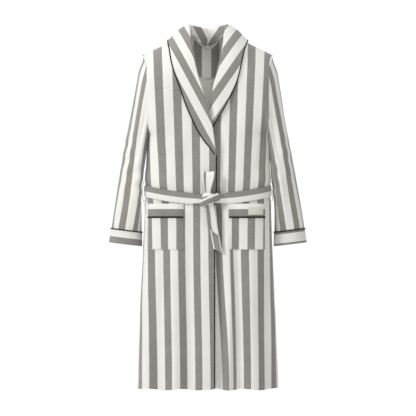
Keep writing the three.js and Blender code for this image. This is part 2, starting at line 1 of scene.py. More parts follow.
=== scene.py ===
# The bathrobe's cloth, trims and sash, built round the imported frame. Shapes are worked out in
# millimetres with heights measured up from the hem, then moved into the frame, in metres.
import math
import bmesh
import bpy
import numpy as np
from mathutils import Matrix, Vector


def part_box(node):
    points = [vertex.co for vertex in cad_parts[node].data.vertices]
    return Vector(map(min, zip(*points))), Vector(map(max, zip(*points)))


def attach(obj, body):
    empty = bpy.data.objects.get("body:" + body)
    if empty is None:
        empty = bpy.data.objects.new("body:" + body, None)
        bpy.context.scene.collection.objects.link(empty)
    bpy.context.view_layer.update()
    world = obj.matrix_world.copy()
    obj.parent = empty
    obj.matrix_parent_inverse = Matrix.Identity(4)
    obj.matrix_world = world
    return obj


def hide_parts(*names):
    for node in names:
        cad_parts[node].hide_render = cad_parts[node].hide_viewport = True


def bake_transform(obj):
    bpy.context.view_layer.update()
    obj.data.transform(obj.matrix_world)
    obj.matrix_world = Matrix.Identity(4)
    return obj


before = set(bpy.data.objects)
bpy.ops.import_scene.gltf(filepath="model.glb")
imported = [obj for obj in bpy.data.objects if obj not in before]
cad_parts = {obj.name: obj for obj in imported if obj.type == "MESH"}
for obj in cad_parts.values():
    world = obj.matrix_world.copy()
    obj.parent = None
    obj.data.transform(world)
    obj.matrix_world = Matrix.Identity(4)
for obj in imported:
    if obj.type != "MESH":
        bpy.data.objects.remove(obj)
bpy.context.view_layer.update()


# ---- Places taken from the frame ------------------------------------------------------------

MID_Y = 20.0
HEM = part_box("back_panel")[0][2] * 1000
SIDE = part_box("right_belt_loop")
SHIFT = np.array([0.0, (SIDE[0][1] + SIDE[1][1]) * 500 - MID_Y, HEM])


def to_frame(points):
    return (np.asarray(points, float) + SHIFT) / 1000


# ---- Camera ---------------------------------------------------------------------------------

CAMERA_LENS = 200.0
CAMERA_SENSOR = 36.0
ROBE_HEIGHT = 1218.0
PICTURE_SHARE = 0.8765  # the robe's height as a share of the picture's
LOOK_X = 0.4
LOOK_Z = 606.0

camera_data = bpy.data.cameras.new("camera")
camera = bpy.data.objects.new("camera", camera_data)
bpy.context.collection.objects.link(camera)
MATCHED_Y = -45.0  # the depth at which sizes in the picture are matched
look = to_frame([LOOK_X, MATCHED_Y, LOOK_Z])
camera_data.sensor_width = CAMERA_SENSOR
camera_data.lens = CAMERA_LENS
spread = ROBE_HEIGHT / PICTURE_SHARE / 1000
distance = CAMERA_LENS / CAMERA_SENSOR * spread
camera.location = (look[0], look[1] - distance, look[2])
camera.rotation_euler = (math.pi / 2, 0, 0)
bpy.context.scene.camera = camera


# ---- The body's shape, as the frame's parts have it -----------------------------------------

HALF_WIDTH = [(0, 238), (480, 217), (645, 210), (850, 205), (915, 236), (1220, 236)]
HALF_DEPTH = [(0, 108), (450, 98), (650, 88), (860, 95), (1040, 95), (1220, 78)]
SQUARENESS = [(0, 4), (850, 4), (915, 6), (1220, 6)]
ARMHOLE_X = [(856, 204), (1048, 204), (1079, 210), (1118, 221), (1220, 221)]
RIGHT_EDGE = [(0, 21), (620, 21), (660, 26), (792, 27), (862, 16), (926, 4), (986, -16),
              (1050, -36), (1120, -53), (1176, -60), (1220, -62)]
LEFT_EDGE = [(0, -62), (660, -60), (800, -44), (870, -18), (936, 4), (969, 13), (1023, 23),
             (1070, 39), (1116, 50), (1176, 54), (1220, 58)]
SHOULDER_Z, SHOULDER_SLOPE, SHOULDER_ROUND, SHOULDER_DROP = 1199.0, 0.5, 20.0, 110.0
NECK_HALF, NECK_BACK_Z = 62.0, 1156.0
ARMHOLE_Z, ARMHOLE_TOP, YOKE_Z = 856.0, 1118.0, 1000.0
LOWER_ROWS = 0.72  # the share of a panel's rows that lie below its yoke
UNDERLAP, UNDERLAP_RUN = 15.0, 42.0


def profile(rows, height):
    rows = np.array(rows, float)
    return np.interp(height, rows[:, 0], rows[:, 1])


def smooth(value):
    value = np.clip(value, 0, 1)
    return value * value * (3 - 2 * value)


def mix(a, b, t):
    return a + (b - a) * t


def shoulder_z(x):
    run = np.abs(x) - NECK_HALF
    return SHOULDER_Z - SHOULDER_SLOPE * (run + np.hypot(run, SHOULDER_ROUND)) / 2


def depth_at(x, z):
    power = profile(SQUARENESS, z)
    share = np.minimum(1, np.abs(x) / profile(HALF_WIDTH, z))
    drop = np.clip((shoulder_z(x) - z) / SHOULDER_DROP, 0, 1)
    turn = np.sqrt(np.maximum(0, 1 - (1 - drop) ** 2))
    return profile(HALF_DEPTH, z) * np.maximum(0, 1 - share ** power) ** (1 / power) * turn


def body_point(x, z, side):
    x, z = np.broadcast_arrays(np.asarray(x, float), np.asarray(z, float))
    return np.stack([x, MID_Y + side * depth_at(x, z), z], -1)


def unit(v):
    return v / np.maximum(1e-9, np.linalg.norm(v, axis=-1, keepdims=True))


def off_body(x, z, side, off):
    step = 0.5
    across = body_point(x + step, z, side) - body_point(x - step, z, side)
    up = body_point(x, z + step, side) - body_point(x, z - step, side)
    normal = unit(np.cross(across, up)) * -side
    return body_point(x, z, side) + normal * np.asarray(off, float)[..., None]


def angle_of(x, z):
    share = np.minimum(1, np.abs(x) / profile(HALF_WIDTH, z))
    angle = np.arccos(share ** (profile(SQUARENESS, z) / 2))
    return np.where(x < 0, angle, math.pi - angle)


def x_of_angle(angle, z):
    cosine = np.cos(angle)
    return -np.sign(cosine) * np.abs(cosine) ** (2 / profile(SQUARENESS, z)) * profile(HALF_WIDTH, z)


def underlap_at(x, z):
    edge = profile(RIGHT_EDGE, z) + UNDERLAP_RUN + 8
    return -UNDERLAP * smooth((edge - x) / UNDERLAP_RUN)


def bump(value, centre, width):
    return np.exp(-((value - centre) / width) ** 2)


# ---- Materials ------------------------------------------------------------------------------

CREAM = (0.80, 0.785, 0.735, 1)
GREY = (0.225, 0.213, 0.190, 1)
# The inner side's own plain cream, painted lighter than the outer cream: painted light, so the shaded
# inside of the robe reads light.
INNER_CREAM_PAINTED_LIGHTER = (0.86, 0.84, 0.765, 1)
BLACK = (0.006, 0.006, 0.007, 1)
LABEL = (0.70, 0.665, 0.58, 1)
PERIOD = 0.0565  # one grey stripe and one cream stripe, metres
GREY_SHARE = 0.47


class Nodes:
    """A small helper for building one material's node tree."""

    def __init__(self, name):
        self.material = bpy.data.materials.new(name)
        self.material.use_nodes = True
        self.tree = self.material.node_tree
        self.shader = self.tree.nodes["Principled BSDF"]

    def add(self, kind, **settings):
        node = self.tree.nodes.new(kind)
        for key, value in settings.items():
            setattr(node, key, value)
        return node

    def link(self, source, target):
        self.tree.links.new(source, target)

    def math(self, operation, a, b=None, clamp=False):
        node = self.add("ShaderNodeMath", operation=operation, use_clamp=clamp)
        for socket, value in zip(node.inputs, (a, b)):
            if value is None:
                continue
            if isinstance(value, (int, float)):
                socket.default_value = value
            else:
                self.link(value, socket)
        return node.outputs[0]

    def mix(self, factor, a, b):
        node = self.add("ShaderNodeMix", data_type="RGBA")
        for socket, value in zip((node.inputs[0], node.inputs[6], node.inputs[7]), (factor, a, b)):
            if isinstance(value, (int, float, tuple)):
                socket.default_value = value
            else:
                self.link(value, socket)
        return node.outputs[2]

    def noise(self, vector, scale, detail=3.0):
        node = self.add("ShaderNodeTexNoise")
        self.link(vector, node.inputs["Vector"])
        node.inputs["Scale"].default_value = scale
        node.inputs["Detail"].default_value = detail
        return node.outputs["Fac"]


THREADS = 1150.0  # warp threads a metre, times two pi over this gives the wave


def cloth_material(name, light, dark=None, sheen=0.35):
    """Woven cotton. The UV map is the cloth's own flat measure in metres: stripes run along v."""
    n = Nodes(name)
    uv = n.add("ShaderNodeUVMap", uv_map="cloth").outputs[0]
    split = n.add("ShaderNodeSeparateXYZ")
    n.link(uv, split.inputs[0])
    across, along = split.outputs[0], split.outputs[1]
    blotch = n.noise(uv, 9.0, 4.0)
    slub_map = n.add("ShaderNodeMapping")
    slub_map.inputs["Scale"].default_value = (900, 26, 1)
    n.link(uv, slub_map.inputs["Vector"])
    slub = n.noise(slub_map.outputs[0], 1.0, 2.0)
    cross_map = n.add("ShaderNodeMapping")
    cross_map.inputs["Scale"].default_value = (30, 900, 1)
    n.link(uv, cross_map.inputs["Vector"])
    cross = n.noise(cross_map.outputs[0], 1.0, 2.0)
    weave = n.math("MULTIPLY", n.math("SINE", n.math("MULTIPLY", across, THREADS * math.pi)),
                   n.math("SINE", n.math("MULTIPLY", along, THREADS * math.pi)))
    base = light
    if dark is not None:
        wobble = n.math("MULTIPLY", n.math("SUBTRACT", slub, 0.5), 0.0016)
        place = n.math("FRACT", n.math("DIVIDE", n.math("ADD", across, wobble), PERIOD))
        middle = n.math("ABSOLUTE", n.math("SUBTRACT", place, 0.5))
        edge = n.math("SUBTRACT", GREY_SHARE / 2, middle)
        stripe = n.math("MULTIPLY", n.math("ADD", edge, 0.006), 80.0, clamp=True)
        # The grey is a melange: light threads show among the dark ones.
        fleck = n.math("MULTIPLY", n.math("ADD", n.math("SUBTRACT", slub, 0.52),
                                          n.math("SUBTRACT", cross, 0.52)), 1.6)
        lighter = tuple(min(1, c * 1.55) for c in dark[:3]) + (1,)
        grey = n.mix(n.math("ADD", fleck, 0.32, clamp=True), dark, lighter)
        base = n.mix(stripe, light, grey)
    tone = n.math("ADD", n.math("MULTIPLY", n.math("SUBTRACT", blotch, 0.5), 0.10),
                  n.math("MULTIPLY", n.math("SUBTRACT", slub, 0.5), 0.10))
    bright = n.add("ShaderNodeHueSaturation")
    if isinstance(base, tuple):
        bright.inputs["Color"].default_value = base
    else:
        n.link(base, bright.inputs["Color"])
    n.link(n.math("ADD", tone, 1.0), bright.inputs["Value"])
    n.link(bright.outputs[0], n.shader.inputs["Base Color"])
    height = n.math("ADD", n.math("MULTIPLY", weave, 0.5),
                    n.math("ADD", n.math("MULTIPLY", slub, 0.7), n.math("MULTIPLY", cross, 0.6)))
    relief = n.add("ShaderNodeBump")
    relief.inputs["Strength"].default_value = 0.32
    relief.inputs["Distance"].default_value = 0.0006
    n.link(height, relief.inputs["Height"])
    n.link(relief.outputs[0], n.shader.inputs["Normal"])
    n.link(n.math("ADD", n.math("MULTIPLY", blotch, 0.08), 0.82), n.shader.inputs["Roughness"])
    n.shader.inputs["Sheen Weight"].default_value = sheen
    n.shader.inputs["Sheen Roughness"].default_value = 0.55
    n.shader.inputs["Specular IOR Level"].default_value = 0.25
    return n.material


def cord_material(name, color):
    """A satin-covered cord, with the cover's threads wound on the bias."""
    n = Nodes(name)
    place = n.add("ShaderNodeTexCoord").outputs["Object"]
    grain = n.noise(place, 900.0, 2.0)
    lighter = tuple(c * 2.6 for c in color[:3]) + (1,)
    n.link(n.mix(grain, color, lighter), n.shader.inputs["Base Color"])
    wave = n.add("ShaderNodeTexWave", wave_type="BANDS", bands_direction="DIAGONAL")
    wave.inputs["Scale"].default_value = 420.0
    wave.inputs["Distortion"].default_value = 1.0
    n.link(place, wave.inputs["Vector"])
    relief = n.add("ShaderNodeBump")
    relief.inputs["Strength"].default_value = 0.3
    relief.inputs["Distance"].default_value = 0.0004
    n.link(wave.outputs["Fac"], relief.inputs["Height"])
    n.link(relief.outputs[0], n.shader.inputs["Normal"])
    n.link(n.math("ADD", n.math("MULTIPLY", grain, 0.2), 0.5), n.shader.inputs["Roughness"])
    n.shader.inputs["Sheen Weight"].default_value = 0.02
    n.shader.inputs["Specular IOR Level"].default_value = 0.12
    return n.material


STRIPED = cloth_material("striped cotton", CREAM, GREY)
# The inner side's material: its cream is painted lighter as painted light against the shade inside the
# robe.
PLAIN_INNER_PAINTED_LIGHTER = cloth_material("plain inner side, painted lighter", INNER_CREAM_PAINTED_LIGHTER)
# A lighter copy of the striped cotton, painted light: its cream and grey are brightened so that the back
# neck's facing, in shade inside the robe, reads light.
FACING_PAINTED_LIGHTER = cloth_material("striped facing, painted lighter", (0.92, 0.905, 0.85, 1), (0.30, 0.29, 0.262, 1))
TAPE = cloth_material("cream tape", (0.74, 0.71, 0.63, 1))
TAG = cloth_material("woven label", LABEL, sheen=0.6)
STITCH = cloth_material("stitching thread", (0.70, 0.68, 0.62, 1))
CORD = cord_material("black piping", BLACK)


# ---- Mesh builders --------------------------------------------------------------------------

LAYER = 1.1  # how thick the cloth is drawn, in millimetres


def link_piece(name, mesh):
    piece = bpy.data.objects.new(name, mesh)
    bpy.context.collection.objects.link(piece)
    return piece


def grid_normals(points, ring):
    if ring:
        across = np.roll(points, -1, 1) - np.roll(points, 1, 1)
    else:
        across = np.gradient(points, axis=1)
    return unit(np.cross(across, np.gradient(points, axis=0)))


def measure(points, scale=0.001):
    """Arc lengths over a grid: across along the middle row, along up the middle column."""
    rows, columns = points.shape[:2]
    steps = np.linalg.norm(np.diff(points, axis=1), axis=-1)
    along = np.linalg.norm(np.diff(points, axis=0), axis=-1)
    u = np.concatenate([np.zeros((rows, 1)), np.cumsum(steps, 1)], 1) * scale
    v = np.concatenate([np.zeros((1, columns)), np.cumsum(along, 0)], 0) * scale
    return u, v


def sheet_piece(name, points, outward, uv=None, ring=False, thick=LAYER,
                materials=(STRIPED, PLAIN_INNER_PAINTED_LIGHTER)):
    """A closed sheet on a grid of points (rows along v, columns along u). Its outer face lies on
    the points, on the side that outward names; its inner face is a layer's thickness behind."""
    points = np.asarray(points, float)
    rows, columns = points.shape[:2]
    normals = grid_normals(points, ring)
    middle = (rows // 2, columns // 2)
    if np.dot(normals[middle], outward) < 0:
        normals = -normals
    inner = points - normals * thick
    u, v = measure(points) if uv is None else uv
    if ring:
        closing = np.linalg.norm(points[:, 0] - points[:, -1], axis=-1) * 0.001
        u = np.concatenate([u, u[:, -1:] + closing[:, None]], 1)
        v = np.concatenate([v, v[:, :1]], 1)
    faces, corners, kinds = [], [], []

    def at(i, j, layer):
        return layer * rows * columns + j * columns + i % columns

    def face(cells, kind):
        faces.append([at(i, j, layer) for i, j, layer in cells])
        corners.extend((u[j, i], v[j, i]) for i, j, layer in cells)
        kinds.append(kind)

    spans = columns if ring else columns - 1
    for j in range(rows - 1):
        for i in range(spans):
            face([(i, j, 0), (i + 1, j, 0), (i + 1, j + 1, 0), (i, j + 1, 0)], 0)
            face([(i, j, 1), (i, j + 1, 1), (i + 1, j + 1, 1), (i + 1, j, 1)], 1)
    for i in range(spans):
        face([(i, 0, 0), (i, 0, 1), (i + 1, 0, 1), (i + 1, 0, 0)], 0)
        last = rows - 1
        face([(i, last, 0), (i + 1, last, 0), (i + 1, last, 1), (i, last, 1)], 0)
    if not ring:
        for j in range(rows - 1):
            face([(0, j, 0), (0, j + 1, 0), (0, j + 1, 1), (0, j, 1)], 0)
            far = columns - 1
            face([(far, j, 0), (far, j, 1), (far, j + 1, 1), (far, j + 1, 0)], 0)
    mesh = bpy.data.meshes.new(name)
    everything = np.concatenate([points.reshape(-1, 3), inner.reshape(-1, 3)])
    mesh.from_pydata([tuple(p) for p in to_frame(everything)], [], faces)
    layer = mesh.uv_layers.new(name="cloth")
    layer.data.foreach_set("uv", np.array(corners, float).ravel())
    for material in materials:
        mesh.materials.append(material)
    mesh.polygons.foreach_set("material_index", kinds)
    mesh.polygons.foreach_set("use_smooth", [True] * len(faces))
    mesh.update()
    if signed_volume(everything, faces) < 0:
        mesh.flip_normals()
    piece = link_piece(name, mesh)
    mesh.set_sharp_from_angle(angle=math.radians(60))
    return piece


def signed_volume(points, faces):
    total = 0.0
    for a, b, c, d in faces:
        pa, pb, pc, pd = points[a], points[b], points[c], points[d]
        total += np.dot(pa, np.cross(pb, pc)) + np.dot(pa, np.cross(pc, pd))
    return total


def tube_piece(name, path, radius, material=CORD, sides=10):
    """A round cord along a path, with rounded ends."""
    path = np.asarray(path, float)
    tangent = unit(np.gradient(path, axis=0))
    side = unit(np.cross(tangent, [0.13, 1.0, 0.21]))
    other = np.cross(tangent, side)
    turn = np.linspace(0, 2 * math.pi, sides, endpoint=False)
    ends = np.ones(len(path))
    ends[0] = ends[-1] = 0.45
    rings = path[:, None] + radius * ends[:, None, None] * (
        np.cos(turn)[None, :, None] * side[:, None] + np.sin(turn)[None, :, None] * other[:, None])
    points = np.concatenate([rings.reshape(-1, 3), path[:1] - tangent[:1] * radius * 0.4,
                             path[-1:] + tangent[-1:] * radius * 0.4])
    faces = []
    count = len(path)
    for j in range(count - 1):
        for i in range(sides):
            k = (i + 1) % sides
            faces.append([j * sides + i, j * sides + k, (j + 1) * sides + k, (j + 1) * sides + i])
    low, high = count * sides, count * sides + 1
    for i in range(sides):
        k = (i + 1) % sides
        faces.append([low, k, i])
        faces.append([high, (count - 1) * sides + i, (count - 1) * sides + k])
    mesh = bpy.data.meshes.new(name)
    mesh.from_pydata([tuple(p) for p in to_frame(points)], [], faces)
    mesh.materials.append(material)
    mesh.polygons.foreach_set("use_smooth", [True] * len(faces))
    mesh.update()
    bpy.context.view_layer.update()
    work = bmesh.new()
    work.from_mesh(mesh)
    bmesh.ops.recalc_face_normals(work, faces=work.faces)
    work.to_mesh(mesh)
    work.free()
    piece = link_piece(name, mesh)
    return piece


def sew_cord(piece, body, node):
    """A piping is sewn in along its whole length, so it stays with its body."""
    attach(piece, body)
    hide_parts(node)


def spline(points, count):
    """A smooth curve through points, sampled evenly by parameter (Catmull-Rom)."""
    p = np.asarray(points, float)
    p = np.concatenate([2 * p[:1] - p[1:2], p, 2 * p[-1:] - p[-2:-1]])
    t = np.linspace(0, len(p) - 3 - 1e-9, count)
    k = t.astype(int)
    f = (t - k)[:, None]
    a, b, c, d = p[k], p[k + 1], p[k + 2], p[k + 3]
    return 0.5 * (2 * b + (c - a) * f + (2 * a - 5 * b + 4 * c - d) * f ** 2
                  + (3 * b - a - 3 * c + d) * f ** 3)


# ---- How the cloth hangs on the body --------------------------------------------------------

SASH_Z = 663.0
SASH_DROP = 27.0


def sash_z(x, side):
    return SASH_Z - (SASH_DROP * (1 - (x / 210) ** 2) if side < 0 else 0)


# Folds of the skirt: [place at the hem, lean towards the waist, width, height], millimetres.
FRONT_FOLDS = [(-206, 8, 15, 7), (-160, 10, 17, -6), (-112, 10, 20, 8), (-62, 6, 18, -7),
               (-16, 8, 16, 5), (44, -20, 12, -5), (74, -10, 14, 10), (104, -12, 15, -8),
               (152, -8, 22, 7), (204, -8, 16, -7)]
BACK_FOLDS = [(-190, 10, 20, 7), (-140, 8, 22, -6), (-86, 6, 20, 8), (-34, 2, 18, -6),
              (18, 0, 20, 8), (70, -4, 20, -7), (124, -6, 22, 7), (180, -8, 20, -6)]


FOLD_DEEP = 1.35


def drape(x, z, side):
    """How far the cloth stands off its plain shape: skirt folds, the pinch of the sash, the
    fullness above it and slack across the chest and back."""
    x, z = np.asarray(x, float), np.asarray(z, float)
    low = np.clip((640 - z) / 640, 0, 1)
    total = np.zeros(np.broadcast(x, z).shape)
    for place, lean, width, height in (FRONT_FOLDS if side < 0 else BACK_FOLDS):
        wander = 4 * np.sin(z / 90 + place)
        centre = place + lean * (1 - low) + wander
        total += FOLD_DEEP * height * low ** 0.8 * bump(x, centre, width * (0.75 + 0.45 * low))
    belt = z - sash_z(x, side)
    total += -3.0 * bump(belt, 0, 26) + 3.2 * bump(belt, 46, 26) * (1 + 0.5 * np.sin(x / 13))
    total += 1.6 * bump(belt, -44, 22) * (1 + 0.9 * np.sin(x / 9 + 1))
    total += 0.9 * np.sin(x / 17 + 1.7 * np.sin(z / 83)) * np.sin(z / 61 + x / 47 + side)
    chest = bump(z, 860, 150)
    total += chest * (1.8 * np.sin(x / 26 + z / 110) + 1.3 * np.sin(x / 15 - z / 70))
    # Drag lines from each armpit towards the sash.
    for sign in (-1, 1):
        line = np.abs(x) - (196 - (930 - z) * 0.14)
        total += np.where(sign * x > 0, -3.2 * bump(line, 0, 8) * bump(z, 850, 110), 0)
    return total


# How each front's evenly striped cloth hangs below the sash, in millimetres: the share of its
# width that the gathers leave, its shift just below the sash and at the hem, and its folds. A
# fold is its place on the cloth, how far it runs across, and the width that it hides just below
# the sash and at the hem; less than nothing lets the cloth out. Above the sash it spreads upwards.
RIGHT_HANG = {"left": 0.89, "shift": (-2.5, 5), "folds": ()}
LEFT_HANG = {"left": 0.94, "shift": (8, 32),
             "folds": ((81, 24, 12, 0), (70, 60, 0, 25), (140, 60, -8, 0))}
CLOTH_HALF = 400
SPREAD = 0.0003
LEFT_SCALE = 57 / 51.5


def hung_across(cloth, hang, end):
    """Where places on the cloth hang across the robe: end 0 is below the sash, 1 the hem."""
    across = cloth * hang["left"] + hang["shift"][end]
    for place, run, *hidden in hang["folds"]:
        across = across - hidden[end] * smooth((cloth - place) / run + 0.5)
    return across


def cloth_place(x, z, hang):
    """Across the cloth, in millimetres, for a place on the front."""
    cloth = np.linspace(-CLOTH_HALF, CLOTH_HALF, 2 * CLOTH_HALF + 1)
    upper = x / (1 + SPREAD * (np.maximum(z, 640) - 762))
    at_belt = np.interp(x, hung_across(cloth, hang, 0), cloth)
    at_hem = np.interp(x, hung_across(cloth, hang, 1), cloth)
    lower = mix(at_belt, at_hem, smooth((520 - z) / 520))
    return mix(upper, lower, smooth((680 - z) / 110))


SIDE_TURN = 0.86


def round_sides(across, points, x, z):
    """Past the turn of the body the stripes follow the cloth's own length."""
    steps = np.linalg.norm(np.diff(points, axis=1), axis=-1)
    arc = np.concatenate([np.zeros((len(points), 1)), np.cumsum(steps, 1)], 1)
    turn = SIDE_TURN * profile(HALF_WIDTH, z)
    way = 1 if x[0, -1] > x[0, 0] else -1
    across = across.copy()
    for j in range(len(points)):
        inside = np.nonzero(np.abs(x[j]) <= turn[j])[0]
        first, last = inside[0], inside[-1]
        across[j, :first] = across[j, first] - way * (arc[j, first] - arc[j, :first])
        across[j, last + 1:] = across[j, last] + way * (arc[j, last + 1:] - arc[j, last])
    return across


def stripe_uv(across_mm, grey_at, scale=1.0):
    """Puts a grey stripe's middle at one place of the across measure."""
    return (across_mm - grey_at) * scale / 1000 + PERIOD / 2


def side_x(z):
    """Half the width at the side seam, and above it at the armhole's edge."""
    return np.where(z > ARMHOLE_Z, profile(ARMHOLE_X, z), profile(HALF_WIDTH, z))


def panel_grid(sign, edge, edge_top, top, columns, rows):
    """Places on a panel from its side seam (u 0) to its other edge, from the hem to its top line.
    Below the yoke its rows follow the body round; above it they close in on the top line."""
    u = np.linspace(0, 1, columns)[None, :]
    lower = int(rows * LOWER_ROWS)
    z = np.linspace(0, YOKE_Z, lower)[:, None] * np.ones_like(u)
    x = x_of_angle(mix(angle_of(sign * side_x(z), z), angle_of(edge(z), z), u), z)
    share = np.linspace(0, 1, rows - lower + 1)[1:, None] * np.ones_like(u)
    hole = profile(ARMHOLE_X, mix(YOKE_Z, ARMHOLE_TOP, share))
    upper_x = mix(sign * hole, edge(mix(YOKE_Z, edge_top, share)), u)
    upper_z = mix(YOKE_Z, top(upper_x), np.sin(share * math.pi / 2))
    return np.concatenate([x, upper_x]), np.concatenate([z, upper_z])


def front_top(x):
    return shoulder_z(x) - 0.05


def right_edge(z):
    return profile(RIGHT_EDGE, z)


def left_edge(z):
    return profile(LEFT_EDGE, z)


def front_surface(x, z, off=0.0, under=False):
    """A place on the hanging cloth of the front, off it by some millimetres."""
    extra = drape(x, z, -1) + (underlap_at(x, z) if under else 0)
    fade = smooth((1190 - z) / 60)
    return off_body(x, z, -1, extra * fade + off)


def back_surface(x, z, off=0.0):
    fade = smooth((np.minimum(shoulder_z(x), 1160) - z) / 60)
    return off_body(x, z, 1, drape(x, z, 1) * fade + off)


def hem_wave(points, z):
    """Lets the hem rise and fall a little with the folds."""
    low = np.clip((120 - z) / 120, 0, 1) ** 2
    points = points.copy()
    points[..., 2] += low * (2.4 + 2.4 * np.sin(points[..., 0] / 17.0 + 0.6))
    return points


def declare(piece, body, nodes, blend=None):
    """Fixes a piece of cloth to its body, or bakes it in place when blend is given, and hides the frame's
    parts that it takes the place of.
    """
    if blend:
        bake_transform(piece)
    else:
        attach(piece, body)
    if nodes:
        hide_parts(*nodes)


# ---- Back panel -----------------------------------------------------------------------------

BACK_OUT = np.array([0, 1, 0])
FRONT_OUT = np.array([0, -1, 0])


def back_top(x):
    dip = 1 - smooth(np.abs(x) / NECK_HALF)
    return mix(shoulder_z(x) - 0.05, NECK_BACK_Z, dip)


def make_back():
    x, z = panel_grid(-1, side_x, ARMHOLE_TOP, back_top, 170, 150)
    points = hem_wave(back_surface(x, z), z)
    across = x * (1 + 0.12 * smooth((640 - z) / 640))
    uv = (stripe_uv(round_sides(across, points, x, z), 28.5), z / 1000)
    piece = sheet_piece("back_panel_cloth", points, BACK_OUT, uv)
    declare(piece, "robe", ["back_panel"])
    return piece


make_back()


# ---- Front panels ---------------------------------------------------------------------------

FOLD_TOP, FOLD_FOOT = (21.0, 400.0), (-130.0, 0.0)


def make_right_front():
    """The upper front in one piece, with the skirt flap's corner in it, baked in place."""
    x, z = panel_grid(-1, right_edge, SHOULDER_Z, front_top, 110, 150)
    points = hem_wave(front_surface(x, z), z)
    across = round_sides(cloth_place(x, z, RIGHT_HANG), points, x, z)
    uv = (stripe_uv(across, -39), z / 1000)
    piece = sheet_piece("right_front_cloth", points, FRONT_OUT, uv)
    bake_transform(piece)
    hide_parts("right_front_panel", "right_skirt_flap")
    return piece


def make_left_front():
    x, z = panel_grid(1, left_edge, SHOULDER_Z, front_top, 130, 150)
    points = hem_wave(front_surface(x, z, under=True), z)
    across = round_sides(cloth_place(x, z, LEFT_HANG), points, x, z)
    uv = (stripe_uv(across, 30, LEFT_SCALE), z / 1000)
    piece = sheet_piece("left_front_cloth", points, FRONT_OUT, uv)
    declare(piece, "robe", ["left_front_panel"])
    return piece


make_right_front()
make_left_front()


# ---- Facings and pipings of the front edges -------------------------------------------------

FACING_WIDTH = 62.0
FACING_BEHIND = 4.2


def facing(name, body, nodes, from_x, to_x, from_z, to_z, under):
    z = np.linspace(from_z, to_z, 60)[:, None]
    x = mix(from_x(z), to_x(z), np.linspace(0, 1, 14)[None, :])
    z = z * np.ones_like(x)
    points = front_surface(x, z, -FACING_BEHIND, under)
    uv = (stripe_uv(x, 0), z / 1000)
    piece = sheet_piece(name, points, FRONT_OUT, uv, materials=(PLAIN_INNER_PAINTED_LIGHTER, STRIPED))
    declare(piece, body, nodes)
    return piece


def fold_x(z):
    return FOLD_FOOT[0] + (FOLD_TOP[0] - FOLD_FOOT[0]) * z / FOLD_TOP[1]


facing("right_facing_cloth", "robe", ["right_front_facing"],
       lambda z: right_edge(z) - FACING_WIDTH, lambda z: right_edge(z) - 1.5, 405, 860, False)
facing("right_flap_facing_cloth", "right_skirt_flap", ["right_flap_facing"],
       lambda z: np.maximum(right_edge(z) - FACING_WIDTH, fold_x(z) + 8),
       lambda z: right_edge(z) - 1.5, 2, 372, False)
facing("left_facing_cloth", "robe", ["left_front_facing"],
       lambda z: left_edge(z) + 1.5, lambda z: left_edge(z) + 50, 2, 840, True)

PIPING_R = 2.1


def front_piping(name, body, node, edge, out, from_z, to_z, under):
    z = np.linspace(from_z, to_z, 90)
    path = front_surface(edge(z) + out, z, -0.4, under)
    piece = tube_piece(name, hem_wave(path, z), PIPING_R)
    sew_cord(piece, body, node)


front_piping("right_front_cord", "robe", "right_front_piping", right_edge, 1.4, 396, 782, False)
front_piping("right_flap_cord", "right_skirt_flap", "right_flap_piping", right_edge, 1.4, 1, 396, False)
front_piping("left_front_cord", "robe", "left_front_piping", left_edge, -1.4, 1, 790, True)


# ---- Back neck ------------------------------------------------------------------------------


def neck_pieces():
    x = np.linspace(-54, 54, 40)[None, :] * np.ones((24, 1))
    share = np.linspace(0, 1, 24)[:, None]
    low = 1048 + 24 * (x / 54) ** 2
    z = mix(low, back_top(x) - 1.5, share)
    points = back_surface(x, z, -2.6)
    uv = (stripe_uv(x, 25.4, 0.94), z / 1000)
    # The facing takes the lighter striped copy: painted light on the shaded inside of the back neck.
    piece = sheet_piece("back_neck_facing_cloth", points, -BACK_OUT, uv,
                        materials=(FACING_PAINTED_LIGHTER, FACING_PAINTED_LIGHTER))
    declare(piece, "robe", ["back_neck_facing"])
    x = np.linspace(-50, 50, 40)[None, :] * np.ones((5, 1))
    z = back_top(x) - 2 - 9 * (1 - np.linspace(0, 1, 5)[:, None])
    points = back_surface(x, z, -4.2)
    tape = sheet_piece("back_neck_tape_cloth", points, -BACK_OUT, thick=0.7, materials=(TAPE, TAPE))
    declare(tape, "robe", ["back_neck_tape"])


neck_pieces()


# ---- Shawl collar ---------------------------------------------------------------------------

TUCK = 4.4 - UNDERLAP


def collar_start(sign):
    rows = [
        [[0.5, 84, 1159], [0.5, 80, 1190], [0.5, 85, 1217], [0.5, 107, 1186], [0.5, 113, 1122]],
        [[34, 66, 1171], [30, 66, 1198], [33, 71, 1221], [54, 97, 1194], [54, 113, 1126]],
        [[54, 42, 1192], [51, 43, 1208], [57, 43, 1224], [88, 66, 1200], [104, 84, 1149]],
        [[60, 20, 1199], [58, 20, 1212], [66, 18, 1222], [100, 26, 1206], [133, 28, 1174]],
    ]
    return [[np.array([sign * x, y, z], float) for x, y, z in row] for row in rows]


def collar_front(roll, edge, seam_off, roll_off, edge_off, swell=2.0):
    sign = np.sign(roll[0] - edge[0])

    def on(place, off):
        x, z = np.array(place, float)
        return off_body(x, z, -1, np.array(off, float))

    middle = [(roll[0] + edge[0]) / 2, (roll[1] + edge[1]) / 2]
    seam = on([roll[0] - sign * 3, roll[1]], seam_off)
    inner = on([roll[0] + sign * 0.5, roll[1]], (seam_off + roll_off) / 2)
    return [seam, inner, on(roll, roll_off), on(middle, (roll_off + edge_off) / 2 + swell),
            on(edge, edge_off)]


